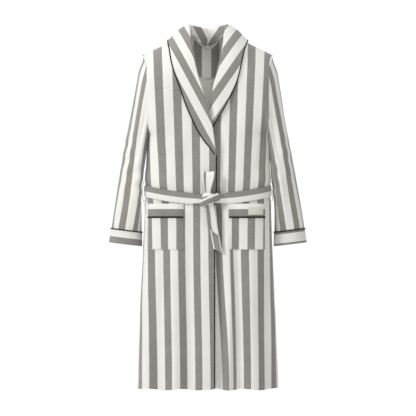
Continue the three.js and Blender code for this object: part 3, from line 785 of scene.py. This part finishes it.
COLLAR_RIGHT = collar_start(-1) + [
    collar_front([-59.5, 1172], [-126, 1134], 3, 9, 4),
    collar_front([-53, 1120], [-116, 1078], 1.5, 8, 4),
    collar_front([-36, 1050], [-92, 1009], 1.5, 8, 4),
    collar_front([-16, 986], [-71, 949], 1.5, 8, 4),
    collar_front([4, 926], [-43, 886], 1.5, 7, 4),
    collar_front([16, 862], [-16, 838], 1.5, 6, 4),
    collar_front([22, 826], [9, 807], 1.5, 5, 3.5),
    collar_front([26, 796], [23, 786], 1.5, 4, 3),
]
COLLAR_LEFT = collar_start(1) + [
    collar_front([54, 1172], [118, 1132], 3, 9.5, 5.5),
    collar_front([50, 1120], [107, 1074], 1.5, 8, 4.5),
    collar_front([39, 1070], [94, 1026], 1.5, 8, 4.5),
    collar_front([23, 1023], [72, 978], 1.5, 8, 5),
    collar_front([13, 969], [50, 936], 0, 4, 4.5),
    collar_front([4, 930], [28, 900], TUCK, TUCK + 2, 1.5),
    collar_front([-14, 880], [6, 862], TUCK, TUCK + 1, TUCK + 1, 0.4),
    collar_front([-36, 815], [-28, 808], TUCK, TUCK + 1, TUCK + 1, 0.4),
]
# Stripes of each collar run straight down the cloth, so they lean across it as it is worn:
# [the stripes' square direction in x and z, where one grey stripe lies along it].
COLLAR_STRIPES = {-1: ((0.881, 0.472), 441.0, 1.1), 1: ((-0.823, 0.568), 538.7, 1.03)}


def collar_grid(sections, across, along):
    columns = [spline([row[k] for row in sections], along) for k in range(len(sections[0]))]
    return np.stack([spline([c[j] for c in columns], across) for j in range(along)])


def make_collar(side, sign, sections):
    along, across = 110, 44
    grid = collar_grid(sections, across, along)
    length = np.linspace(0, 1, along)[:, None]
    fall = np.clip((np.linspace(0, 1, across)[None, :] - 0.5) * 2, 0, 1)
    lift = fall * (1.2 * np.sin(length * 21) + 0.8 * np.sin(length * 9 + 1)) * (1 - length)
    grid = grid + unit(grid_normals(grid, False)) * (lift * sign)[..., None] * -1
    (nx, nz), grey_at, scale = COLLAR_STRIPES[sign]
    place = grid[..., 0] * nx + grid[..., 2] * nz
    uv = (stripe_uv(place, grey_at, scale), (grid[..., 0] * nz - grid[..., 2] * nx) / 1000)
    outward = np.array([sign * 0.3, -1, 0.3])
    normals = grid_normals(grid, False)
    check = (along * 3 // 5, across * 4 // 5)
    middle = (along // 2, across // 2)
    facing_way = normals[middle] if np.dot(normals[check], outward) > 0 else -normals[middle]
    top = sheet_piece(f"{side}_collar_cloth", grid, facing_way, uv, materials=(STRIPED, STRIPED))
    declare(top, "robe", [f"{side}_collar"])
    half = grid[:, across * 11 // 20:]
    normals = grid_normals(half, False)
    if np.dot(normals[along * 3 // 5, -4], outward) < 0:
        normals = -normals
    under = half - normals * 1.9
    uv = (stripe_uv(under[..., 0], 20), under[..., 2] / 1000)
    facing_way = normals[under.shape[0] // 2, under.shape[1] // 2]
    lower = sheet_piece(f"{side}_under_collar_cloth", under, facing_way, uv,
                        materials=(STRIPED, STRIPED), thick=0.9)
    declare(lower, "robe", [f"{side}_under_collar"])
    out = unit(grid[:, -1] - grid[:, -3])
    path = grid[:, -1] + out * 1.8
    cord = tube_piece(f"{side}_collar_cord", path, PIPING_R)
    sew_cord(cord, "robe", f"{side}_collar_piping")


make_collar("right", -1, COLLAR_RIGHT)
make_collar("left", 1, COLLAR_LEFT)


# ---- Sleeves and cuffs ----------------------------------------------------------------------

CUFF_X, CUFF_Z, CUFF_HALF, CUFF_DEPTH, CUFF_TILT = 273.0, 484.0, 51.0, 46.0, 0.13
CUFF_SHARE = 0.082
SLEEVE_BOW = 10.0
SLEEVE_SQUARE = 4.4
SLEEVE_FULL, SLEEVE_HEAD = 9.0, 0.09  # fullness, gained over this share of the length
SLEEVE_TUCK = 4.0  # how far the sleeve head goes in under the panels' edges
SLEEVE_SIDE = 62.0  # cloth from the sleeve's outer line round to its front face
CUFF_HEIGHT = 46.0
RIM_TOP = 1119.0
RIM_UNDER, TIP_UNDER = 1.0, 5.0  # how far the head's rim lies below the armhole, and more at its tip


def sleeve_points(sign, turn, v):
    """turn is the angle round the sleeve from its outer line, towards the front."""
    cosine, sine = np.cos(turn), np.sin(turn)
    outer = cosine > 0
    square = 2 / mix(2.0, SLEEVE_SQUARE, smooth(v / 0.2) * smooth((1 - v) / 0.12))
    cosine = np.where(outer, np.abs(cosine) ** square, cosine)
    sine = np.where(outer, np.sign(sine) * np.abs(sine) ** square, sine)
    rim_z = mix(ARMHOLE_Z, RIM_TOP, (1 + cosine) / 2)
    rise = rim_z - CUFF_Z - CUFF_TILT * CUFF_HALF * cosine
    ratio = CUFF_HEIGHT / (CUFF_SHARE * rise)
    v = v * (1 + (ratio - 1) * smooth((0.5 - v) / 0.35))
    edge = profile(ARMHOLE_X, rim_z)
    depth = np.maximum(depth_at(edge - 0.5, rim_z) - 1.6, 0)
    rim_z = rim_z - RIM_UNDER - TIP_UNDER * np.maximum(cosine, 0) ** 4
    rim = np.stack([edge - SLEEVE_TUCK, MID_Y - np.sign(sine) * depth, rim_z], -1)
    cuff = np.stack([CUFF_X + CUFF_HALF * cosine, MID_Y - CUFF_DEPTH * sine,
                     CUFF_Z + CUFF_TILT * CUFF_HALF * cosine], -1)
    points = mix(cuff, rim, v[..., None])
    points[..., 0] += SLEEVE_BOW * np.sin(math.pi * v) * (1 - cosine) / 2
    points[..., 0] += SLEEVE_FULL * smooth((1 - v) / SLEEVE_HEAD) * (1 + cosine) / 2
    points[..., 0] *= sign
    return points


def sleeve_place(grid, turn, drift):
    """Across a sleeve's cloth from the start of its front face, in millimetres. The stripes keep
    beside the outer line, and the taper is taken up at the seam below."""
    columns = grid.shape[1]
    outer = grid[:, columns // 2]
    front = grid[:, columns // 4]
    z = grid[..., 2]
    span = np.interp(z, outer[:, 2], np.abs(outer[:, 0])) - np.abs(grid[..., 0])
    depth = np.interp(z, front[:, 2], np.abs(front[:, 1] - MID_Y))
    share = np.clip(np.abs(grid[..., 1] - MID_Y) / depth, 0, 1)
    round_it = np.where(np.cos(turn) > 0, share - 1, 1 - share) * SLEEVE_SIDE
    return span + round_it + drift * smooth((z - 540) / 500)


def make_sleeve(side, sign, grey_at, drift):
    columns, rows = 96, 120
    turn = np.linspace(math.pi, -math.pi, columns, endpoint=False)[None, :]
    v = np.linspace(0, 1, rows)[:, None]
    turn, v = turn * np.ones_like(v), v * np.ones_like(turn)
    grid = sleeve_points(sign, turn, v)
    z = grid[..., 2]
    normals = grid_normals(grid, True)
    centre = np.mean(grid, axis=1, keepdims=True)
    flip = np.sign(np.sum(normals * (grid - centre), axis=-1, keepdims=True))
    normals = normals * flip
    # Long soft folds down the sleeve, creases at the elbow and drag lines under the armpit.
    ends = smooth(v / 0.12) * smooth((1 - v) / 0.1)
    fold = 3.4 * np.sin(3 * turn + 5 * v + sign) * bump(v, 0.5, 0.34)
    elbow = 2.6 * np.sin(z / 9 + 2.2 * np.cos(turn)) * bump(v, 0.5, 0.12)
    elbow = elbow * (0.5 + 0.5 * np.cos(turn - 2.2))
    pull = -3.4 * bump(turn, 1.9 - 0.7 * (1 - v), 0.17) * smooth(v / 0.3)
    grid = grid + normals * ((fold + elbow + pull) * ends)[..., None]
    _, along = measure(grid)
    uv = (stripe_uv(sleeve_place(grid, turn, drift), grey_at), along)
    cut = int(round(CUFF_SHARE * (rows - 1)))
    part = grid[cut:]
    middle = (part.shape[0] // 2, columns // 2)
    sleeve = sheet_piece(f"{side}_sleeve_cloth", part, normals[cut:][middle],
                         (uv[0][cut:], uv[1][cut:]), ring=True)
    start = to_frame([sign * 206, MID_Y, 860])
    end = to_frame([sign * 264, MID_Y, 856])
    declare(sleeve, "robe", [f"{side}_sleeve"],
            blend=(f"{side}_sleeve", tuple(start), tuple(end)))
    return grid, normals, cut


def make_cuff(side, grid, normals, cut, grey_at):
    rows = 12
    v = np.linspace(0, cut, rows)
    low = np.floor(v).astype(int)
    high = np.minimum(low + 1, grid.shape[0] - 1)
    f = (v - low)[:, None, None]
    base = grid[low] * (1 - f) + grid[high] * f
    out = normals[low]
    ring = base + out * 0.8
    height = np.linspace(0, CUFF_HEIGHT, rows)[:, None] * np.ones((1, ring.shape[1]))
    round_u, _ = measure(ring)
    uv = (stripe_uv(height, grey_at), round_u)
    middle = (rows // 2, ring.shape[1] // 2)
    cuff = sheet_piece(f"{side}_cuff_cloth", ring, out[middle], uv, ring=True, thick=2.4,
                       materials=(STRIPED, STRIPED))
    declare(cuff, f"{side}_sleeve", [f"{side}_cuff"])
    path = grid[cut] + normals[cut] * 1.8
    path = np.concatenate([path, path[:3]])
    cord = tube_piece(f"{side}_cuff_cord", path, 2.0)
    sew_cord(cord, f"{side}_sleeve", f"{side}_cuff_piping")


for side, sign, sleeve_grey, drift, cuff_grey in (("right", -1, 34.0, 14.0, 8.0),
                                                  ("left", 1, 20.5, 7.0, -6.0)):
    grid, normals, cut = make_sleeve(side, sign, sleeve_grey, drift)
    make_cuff(side, grid, normals, cut, cuff_grey)


# ---- Pockets --------------------------------------------------------------------------------

POCKETS = {"right": (-198.0, -81.0, -92.5), "left": (70.0, 190.0, 91.5)}
POCKET_Z = (468.0, 575.0, 620.0)
POCKET_STAND = 9.0
POCKET_SCALE = 57 / 52.4
BAND_GREY_AT = 13.5  # middle of the grey line, above the band's seam


def pocket_off(x, z, low_x, high_x):
    across = np.sin(math.pi * np.clip((x - low_x) / (high_x - low_x), 0, 1))
    share = smooth((z - POCKET_Z[0]) / (POCKET_Z[2] - POCKET_Z[0]))
    return 1.6 + POCKET_STAND * np.sqrt(across) * share + 0.5 * bump(z, POCKET_Z[0], 4)


def pocket_grid(low_x, high_x, low_z, high_z, rows, extra=0.0, columns=60):
    x = np.linspace(low_x, high_x, columns)[None, :] * np.ones((rows, 1))
    z = np.linspace(low_z, high_z, rows)[:, None] * np.ones_like(x)
    side_low, side_high = POCKETS["right"][:2] if low_x < 0 else POCKETS["left"][:2]
    points = front_surface(x, z, pocket_off(x, z, side_low, side_high) + extra, False)
    return x, z, points


def stitch_row(name, path, host_body="robe"):
    """A row of stitches: short raised threads along a path."""
    path = np.asarray(path, float)
    lengths = np.concatenate([[0], np.cumsum(np.linalg.norm(np.diff(path, axis=0), axis=1))])
    places = np.arange(1.5, lengths[-1] - 1.5, 3.4)
    points, faces = [], []
    for place in places:
        ends = [np.array([np.interp(t, lengths, path[:, k]) for k in range(3)])
                for t in (place - 1.1, place + 1.1)]
        along = unit(ends[1] - ends[0])
        side = unit(np.cross(along, [0.1, 1, 0.05])) * 0.35
        rise = unit(np.cross(side, along)) * 0.35
        base = len(points)
        for end, share in ((ends[0], 0.4), ((ends[0] + ends[1]) / 2, 1.0), (ends[1], 0.4)):
            points += [end + way * share for way in (side, rise, -side, -rise)]
        for ring in (0, 4):
            for k in range(4):
                m = (k + 1) % 4
                faces.append([base + ring + corner for corner in (k, m, 4 + m, 4 + k)])
        faces.append([base + 3, base + 2, base + 1, base])
        faces.append([base + 8, base + 9, base + 10, base + 11])
    mesh = bpy.data.meshes.new(name)
    mesh.from_pydata([tuple(p) for p in to_frame(points)], [], faces)
    mesh.uv_layers.new(name="cloth")
    mesh.materials.append(STITCH)
    mesh.update()
    piece = link_piece(name, mesh)
    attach(piece, host_body)
    return piece


def make_pocket(side):
    low_x, high_x, grey_at = POCKETS[side]
    low, seam, top = POCKET_Z
    x, z, points = pocket_grid(low_x, high_x, low, seam - 0.5, 40)
    uv = (stripe_uv(x, grey_at, POCKET_SCALE), z / 1000)
    body = sheet_piece(f"{side}_pocket_cloth", points, FRONT_OUT, uv)
    declare(body, "robe", [f"{side}_pocket"])
    x, z, points = pocket_grid(low_x - 0.5, high_x + 0.5, seam + 0.5, top, 20, 0.5)
    uv = (stripe_uv(z, seam + BAND_GREY_AT, 1.0), x / 1000)
    band = sheet_piece(f"{side}_pocket_band_cloth", points, FRONT_OUT, uv, thick=2.0,
                       materials=(STRIPED, STRIPED))
    declare(band, "robe", [f"{side}_pocket_band"])
    x, z, points = pocket_grid(low_x, high_x, seam, seam + 0.1, 2, 1.2)
    cord = tube_piece(f"{side}_pocket_cord", points[0], 2.8)
    sew_cord(cord, "robe", f"{side}_pocket_piping")
    inset = 2.6
    rows = []
    for line_x in (low_x + inset, high_x - inset):
        zs = np.linspace(top - 4, low + inset, 50)
        xs = np.full(50, line_x)
        rows.append(front_surface(xs, zs, pocket_off(xs, zs, low_x, high_x) + 0.25))
    xs = np.linspace(low_x + inset, high_x - inset, 60)
    zs = np.full(60, low + inset)
    rows.append(front_surface(xs, zs, pocket_off(xs, zs, low_x, high_x) + 0.25))
    for k, path in enumerate(rows):
        stitch_row(f"{side}_pocket_stitches_{k + 1}", path)


for side in POCKETS:
    make_pocket(side)

HEM_TURN = 13.0  # how far above the hem its row of stitches runs


def hem_row(name, body, from_x, to_x, side):
    x = np.linspace(from_x, to_x, 160)
    z = np.full_like(x, HEM_TURN)
    points = front_surface(x, z, 0.3, from_x > 0) if side < 0 else back_surface(x, z, 0.3)
    stitch_row(name, hem_wave(points, z), body)


hem_row("right_hem_stitches", "robe", -226, -137, -1)
hem_row("right_flap_hem_stitches", "right_skirt_flap", -113, 14, -1)
hem_row("left_hem_stitches", "robe", 30, 226, -1)
hem_row("back_hem_stitches", "robe", -226, 226, 1)

LABEL_X, LABEL_Z = (133, 181), (583, 608)
x, z, points = pocket_grid(*LABEL_X, *LABEL_Z, 12, 1.4, 24)
tag = sheet_piece("pocket_label_cloth", points, FRONT_OUT, (x / 1000, z / 1000), thick=0.7,
                  materials=(TAG, TAG))
declare(tag, "robe", ["left_pocket_label"])


# ---- Sash -----------------------------------------------------------------------------------

SASH_HEIGHT = 38.0
# A strap's stripes: the grey half and the cream half meet along its middle.
STRAP_GREY = 13.4


def strap_uv(height_mm, along_m):
    """height_mm runs over the strap's width, from 0 at its cream edge to its grey one."""
    return stripe_uv(height_mm - SASH_HEIGHT / 2, STRAP_GREY), along_m


def make_band():
    columns, rows = 300, 18
    turn = np.linspace(0, 2 * math.pi, columns, endpoint=False)[None, :] * np.ones((rows, 1))
    v = np.linspace(0, 1, rows)[:, None] * np.ones((1, columns))
    side = np.where(np.sin(turn) < 0, -1, 1)
    share = np.abs(np.cos(turn)) ** (2 / 4)
    x = np.sign(np.cos(turn)) * share * 209.0
    z = np.where(side < 0, SASH_Z - SASH_DROP * (1 - (x / 210) ** 2), SASH_Z)
    gather = 0.75 + 0.25 * smooth((np.abs(x - 4) - 20) / 60)
    gather = np.where(side < 0, gather, 1)
    z = z + (v - 0.5) * SASH_HEIGHT * gather
    x = x * profile(HALF_WIDTH, z) / 209.5
    power = profile(SQUARENESS, z)
    depth = profile(HALF_DEPTH, z) * np.abs(np.sin(turn)) ** (2 / power)
    points = np.stack([x, MID_Y + side * depth, z], -1)
    normals = grid_normals(points, True)
    outward = points - np.array([0, MID_Y, 0])
    outward[..., 2] = 0
    flip = np.sign(np.sum(normals * outward, -1, keepdims=True))
    normals = normals * flip
    off = 3.4 + 0.7 * np.sin(x / 31 + 2 * v) + 1.1 * bump(v, 0.5, 0.4)
    off += 0.8 * np.sin(v * 9) * (1 - smooth(np.abs(x) / 90)) * (side < 0)
    points = points + normals * off[..., None]
    u, _ = measure(points)
    middle = (rows // 2, columns // 2)
    band = sheet_piece("sash_band_cloth", points, normals[middle], strap_uv(v * SASH_HEIGHT, u), ring=True,
                       thick=2.0, materials=(STRIPED, STRIPED))
    declare(band, "robe", ["sash_band"])


make_band()


def front_y(z):
    """How far forward the cloth lies at the robe's middle line."""
    return body_point(np.zeros_like(np.asarray(z, float)), z, -1)[..., 1]


def ribbon(name, centre, width_dir, widths, body, nodes, v_shift=0.0, thick=2.2, cup=0.0,
           grey_up=True, columns=14, scale=1.0, places=None):
    """A strap along a line of centres. width_dir is the way across it at each centre, and cup bows
    it across. places gives where its cloth lies across it, when it is folded along its length."""
    centre = np.asarray(centre, float)
    across = unit(np.asarray(width_dir, float))
    tangent = unit(np.gradient(centre, axis=0))
    normal = unit(np.cross(across, tangent))
    w = np.linspace(-0.5, 0.5, columns)
    widths = np.asarray(widths, float)[:, None, None]
    points = centre[:, None] + across[:, None] * (w[None, :, None] * widths)
    bow = cup * (1 - (2 * w) ** 2)[None, :, None]
    points = points + normal[:, None] * bow
    lengths = np.concatenate([[0], np.cumsum(np.linalg.norm(np.diff(centre, axis=0), axis=1))])
    height = (w + 0.5) * SASH_HEIGHT
    if not grey_up:
        height = SASH_HEIGHT - height
    u, v = strap_uv(height[None, :] * scale + v_shift + np.zeros((len(centre), 1)),
                    lengths[:, None] / 1000 + np.zeros((1, columns)))
    if places is not None:
        u = stripe_uv(np.interp(w, *places)[None, :] + 0 * v, 0)
    middle = (len(centre) // 2, columns // 2)
    piece = sheet_piece(name, points, normal[middle[0]], (u, v), thick=thick,
                        materials=(STRIPED, STRIPED))
    declare(piece, body, nodes)
    return piece


KNOT_Z = 637.0
KNOT_Y = float(front_y(KNOT_Z)) - 16


def make_knot():
    """The knot: a core, the turn that comes over it from the upper left, and the one under it."""
    x0 = 4.0
    turns = []
    steps = 40
    t = np.linspace(0, 1, steps)
    # Cream turn over the top, from the loop's foot down behind the right side.
    over = spline([[x0 - 18, KNOT_Y + 8, KNOT_Z + 2], [x0 - 15, KNOT_Y - 5, KNOT_Z + 8],
                   [x0 - 3, KNOT_Y - 9, KNOT_Z + 10], [x0 + 10, KNOT_Y - 7, KNOT_Z + 5],
                   [x0 + 20, KNOT_Y + 3, KNOT_Z - 1]], steps)
    turns.append(("sash_knot_over", over, [0.25, 0.1, 1.0], 21 - 4 * np.sin(math.pi * t), -6, False))
    # Grey turn across the front, from lower left up to the right.
    front = spline([[x0 - 27, KNOT_Y + 9, KNOT_Z - 17], [x0 - 18, KNOT_Y - 5, KNOT_Z - 12],
                    [x0 - 2, KNOT_Y - 12, KNOT_Z - 5], [x0 + 16, KNOT_Y - 9, KNOT_Z + 2],
                    [x0 + 31, KNOT_Y + 6, KNOT_Z + 7]], steps)
    turns.append(("sash_knot_front", front, [-0.35, 0.0, 1.0], 19 - 3 * np.cos(math.pi * t), 19, True))
    core = spline([[x0 - 20, KNOT_Y + 6, KNOT_Z - 6], [x0 - 4, KNOT_Y + 1, KNOT_Z - 6],
                   [x0 + 16, KNOT_Y + 6, KNOT_Z - 2]], steps)
    turns.append(("sash_knot_core", core, [0.0, 0.0, 1.0], 27 + 0 * t, 4, True))
    for k, (name, line, across, widths, shift, grey_up) in enumerate(turns):
        ribbon(name, line, np.array([across] * steps), widths, "robe",
               ["sash_knot"] if k == 0 else [], v_shift=shift, thick=2.6, cup=-4.5 if k < 2 else -3,
               grey_up=grey_up)


make_knot()


def tail_grid(top, foot, slant, off, sway, rows=60, columns=14):
    """A hanging end: top and foot give its left edge, its right edge and their height."""
    v = np.linspace(0, 1, rows)[:, None]
    w = np.linspace(0, 1, columns)[None, :]
    x = mix(mix(top[0], foot[0], v), mix(top[1], foot[1], v), w) + 1.6 * np.sin(5 * v + sway)
    z = mix(top[2], foot[2], v) + slant * v * (0.5 - w)
    lift = 2.0 * np.sin(4 * v + sway) + 1.8 * np.sin(3.1 * w + 2.4 * v + sway)
    y = front_y(z) - off - lift * v
    return np.stack([x + 0 * w, y, z], -1), v, w


def make_tails():
    # Each end is folded a little along its length where the knot squeezes it, so that the
    # stripes crowd together at the top.
    points, v, w = tail_grid((-10, 17, 622), (3, 36, 527), 24, 15, 0.4)
    place = np.interp(w, [0, 0.4, 1], [-12, STRAP_GREY, 36]) * np.ones_like(v)
    front = sheet_piece("sash_tail_front_cloth", points, FRONT_OUT,
                        (stripe_uv(place, 0), v * 0.1 + 0 * w), thick=2.2,
                        materials=(STRIPED, STRIPED))
    declare(front, "sash_tail_front", ["sash_tail_front"])
    points, v, w = tail_grid((-2, 24, 616), (17, 47, 463), 15, 9.2, 2.2)
    place = np.interp(w, [0, 0.16, 0.9, 1], [-21, -13, 13, 16]) * np.ones_like(v)
    behind = sheet_piece("sash_tail_behind_cloth", points, FRONT_OUT,
                         (stripe_uv(place, 0), v * 0.16 + 0 * w), thick=2.2,
                         materials=(STRIPED, STRIPED))
    declare(behind, "sash_tail_behind", ["sash_tail_behind"])


make_tails()


def make_bow_loop():
    """The single loop of the bow stands up from the knot: two leaves joined by the bend on top."""
    centre_y = float(front_y(690)) - 16
    line = spline([[-2, centre_y - 5, 652], [-3, centre_y - 8.5, 672], [-1, centre_y - 8, 700],
                   [0, centre_y - 6.5, 718], [0, centre_y - 1, 726.5], [0, centre_y + 4.5, 719],
                   [0, centre_y + 6, 700], [0, centre_y + 5, 674], [0, centre_y + 2, 656]], 90)
    rise = np.clip((line[:, 2] - 652) / 75, 0, 1)
    across = np.stack([np.ones(90), 0.10 * np.sin(6 * rise), 0 * rise], -1)
    widths = mix(19, 42, smooth(rise / 0.85))
    ribbon("sash_bow_loop_cloth", line, across, widths, "sash_bow_loop", ["sash_bow_loop"],
           cup=-2.0, grey_up=True, columns=20,
           places=([-0.5, -0.34, -0.16, 0.5], [-22, -13.3, 13.3, 36]))


make_bow_loop()

for side, sign in (("right", -1), ("left", 1)):
    z = np.linspace(627, 699, 40)
    off = 2.5 + 8.2 * np.sqrt(np.sin(math.pi * np.linspace(0.02, 0.98, 40)))
    line = np.stack([sign * (profile(HALF_WIDTH, z) + off), np.full(40, MID_Y), z], -1)
    ribbon(f"{side}_belt_loop_cloth", line, np.array([[0, 1, 0]] * 40), np.full(40, 9.5),
           "robe", [f"{side}_belt_loop"], thick=1.4, columns=6,
           v_shift=-12, scale=0.2)


# ---- The hanging loop stays as it is, in the cream cloth ------------------------------------

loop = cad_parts["hanging_loop"]
loop.data.materials.clear()
loop.data.materials.append(cord_material("cream cord", (0.34, 0.33, 0.30, 1)))


# ---- Stage ----------------------------------------------------------------------------------

FLOOR_DROP = 0.45  # how far the floor lies below the hem, metres
FLOOR_HALF_X, FLOOR_NEAR_Y, FLOOR_FAR_Y = 3.5, -6.0, 3.2
floor_z = HEM / 1000 - FLOOR_DROP
mesh = bpy.data.meshes.new("floor")
mesh.from_pydata([(-FLOOR_HALF_X, FLOOR_NEAR_Y, floor_z), (FLOOR_HALF_X, FLOOR_NEAR_Y, floor_z),
                  (FLOOR_HALF_X, FLOOR_FAR_Y, floor_z), (-FLOOR_HALF_X, FLOOR_FAR_Y, floor_z)],
                 [], [(0, 1, 2, 3)])
floor = bpy.data.objects.new("floor", mesh)
bpy.context.collection.objects.link(floor)
pale = bpy.data.materials.new("pale floor")
pale.use_nodes = True
pale.node_tree.nodes["Principled BSDF"].inputs["Base Color"].default_value = (0.86, 0.86, 0.86, 1)
pale.node_tree.nodes["Principled BSDF"].inputs["Roughness"].default_value = 0.9
mesh.materials.append(pale)

# The studio: a white wall behind the robe, dimmer everywhere else so that the folds show.
WALL_LIGHT, ROOM_LIGHT = 1.06, 0.40
world = bpy.data.worlds.new("world")
bpy.context.scene.world = world
world.use_nodes = True
tree = world.node_tree
way = tree.nodes.new("ShaderNodeTexCoord")
split = tree.nodes.new("ShaderNodeSeparateXYZ")
ramp = tree.nodes.new("ShaderNodeMapRange")
ramp.interpolation_type = "SMOOTHSTEP"
ramp.inputs["From Min"].default_value = 0.1
ramp.inputs["From Max"].default_value = 0.85
ramp.inputs["To Min"].default_value = ROOM_LIGHT
ramp.inputs["To Max"].default_value = WALL_LIGHT
tree.links.new(way.outputs["Generated"], split.inputs[0])
tree.links.new(split.outputs["Y"], ramp.inputs["Value"])
tree.links.new(ramp.outputs["Result"], tree.nodes["Background"].inputs["Strength"])
tree.nodes["Background"].inputs["Color"].default_value = (1, 1, 1, 1)


def area_light(name, place, size, energy, aim):
    data = bpy.data.lights.new(name, "AREA")
    data.size = size
    data.energy = energy
    light = bpy.data.objects.new(name, data)
    light.location = place
    light.rotation_euler = (Vector(aim) - Vector(place)).to_track_quat("-Z", "Y").to_euler()
    bpy.context.collection.objects.link(light)


centre = tuple(to_frame([0, MID_Y, 620]))
shoulders = tuple(to_frame([0, 60, 1050]))
# [name, place and size in metres, watts, what it points at]
for lamp in (("key", (-2.8, -1.8, 1.1), 1.1, 66, centre),
             ("fill", (0.6, -4.6, 0.25), 1.2, 32, centre),
             ("top", (0.1, -1.1, 2.2), 0.8, 22, shoulders)):
    area_light(*lamp)

bpy.context.scene.view_settings.view_transform = "Standard"
bpy.context.view_layer.update()
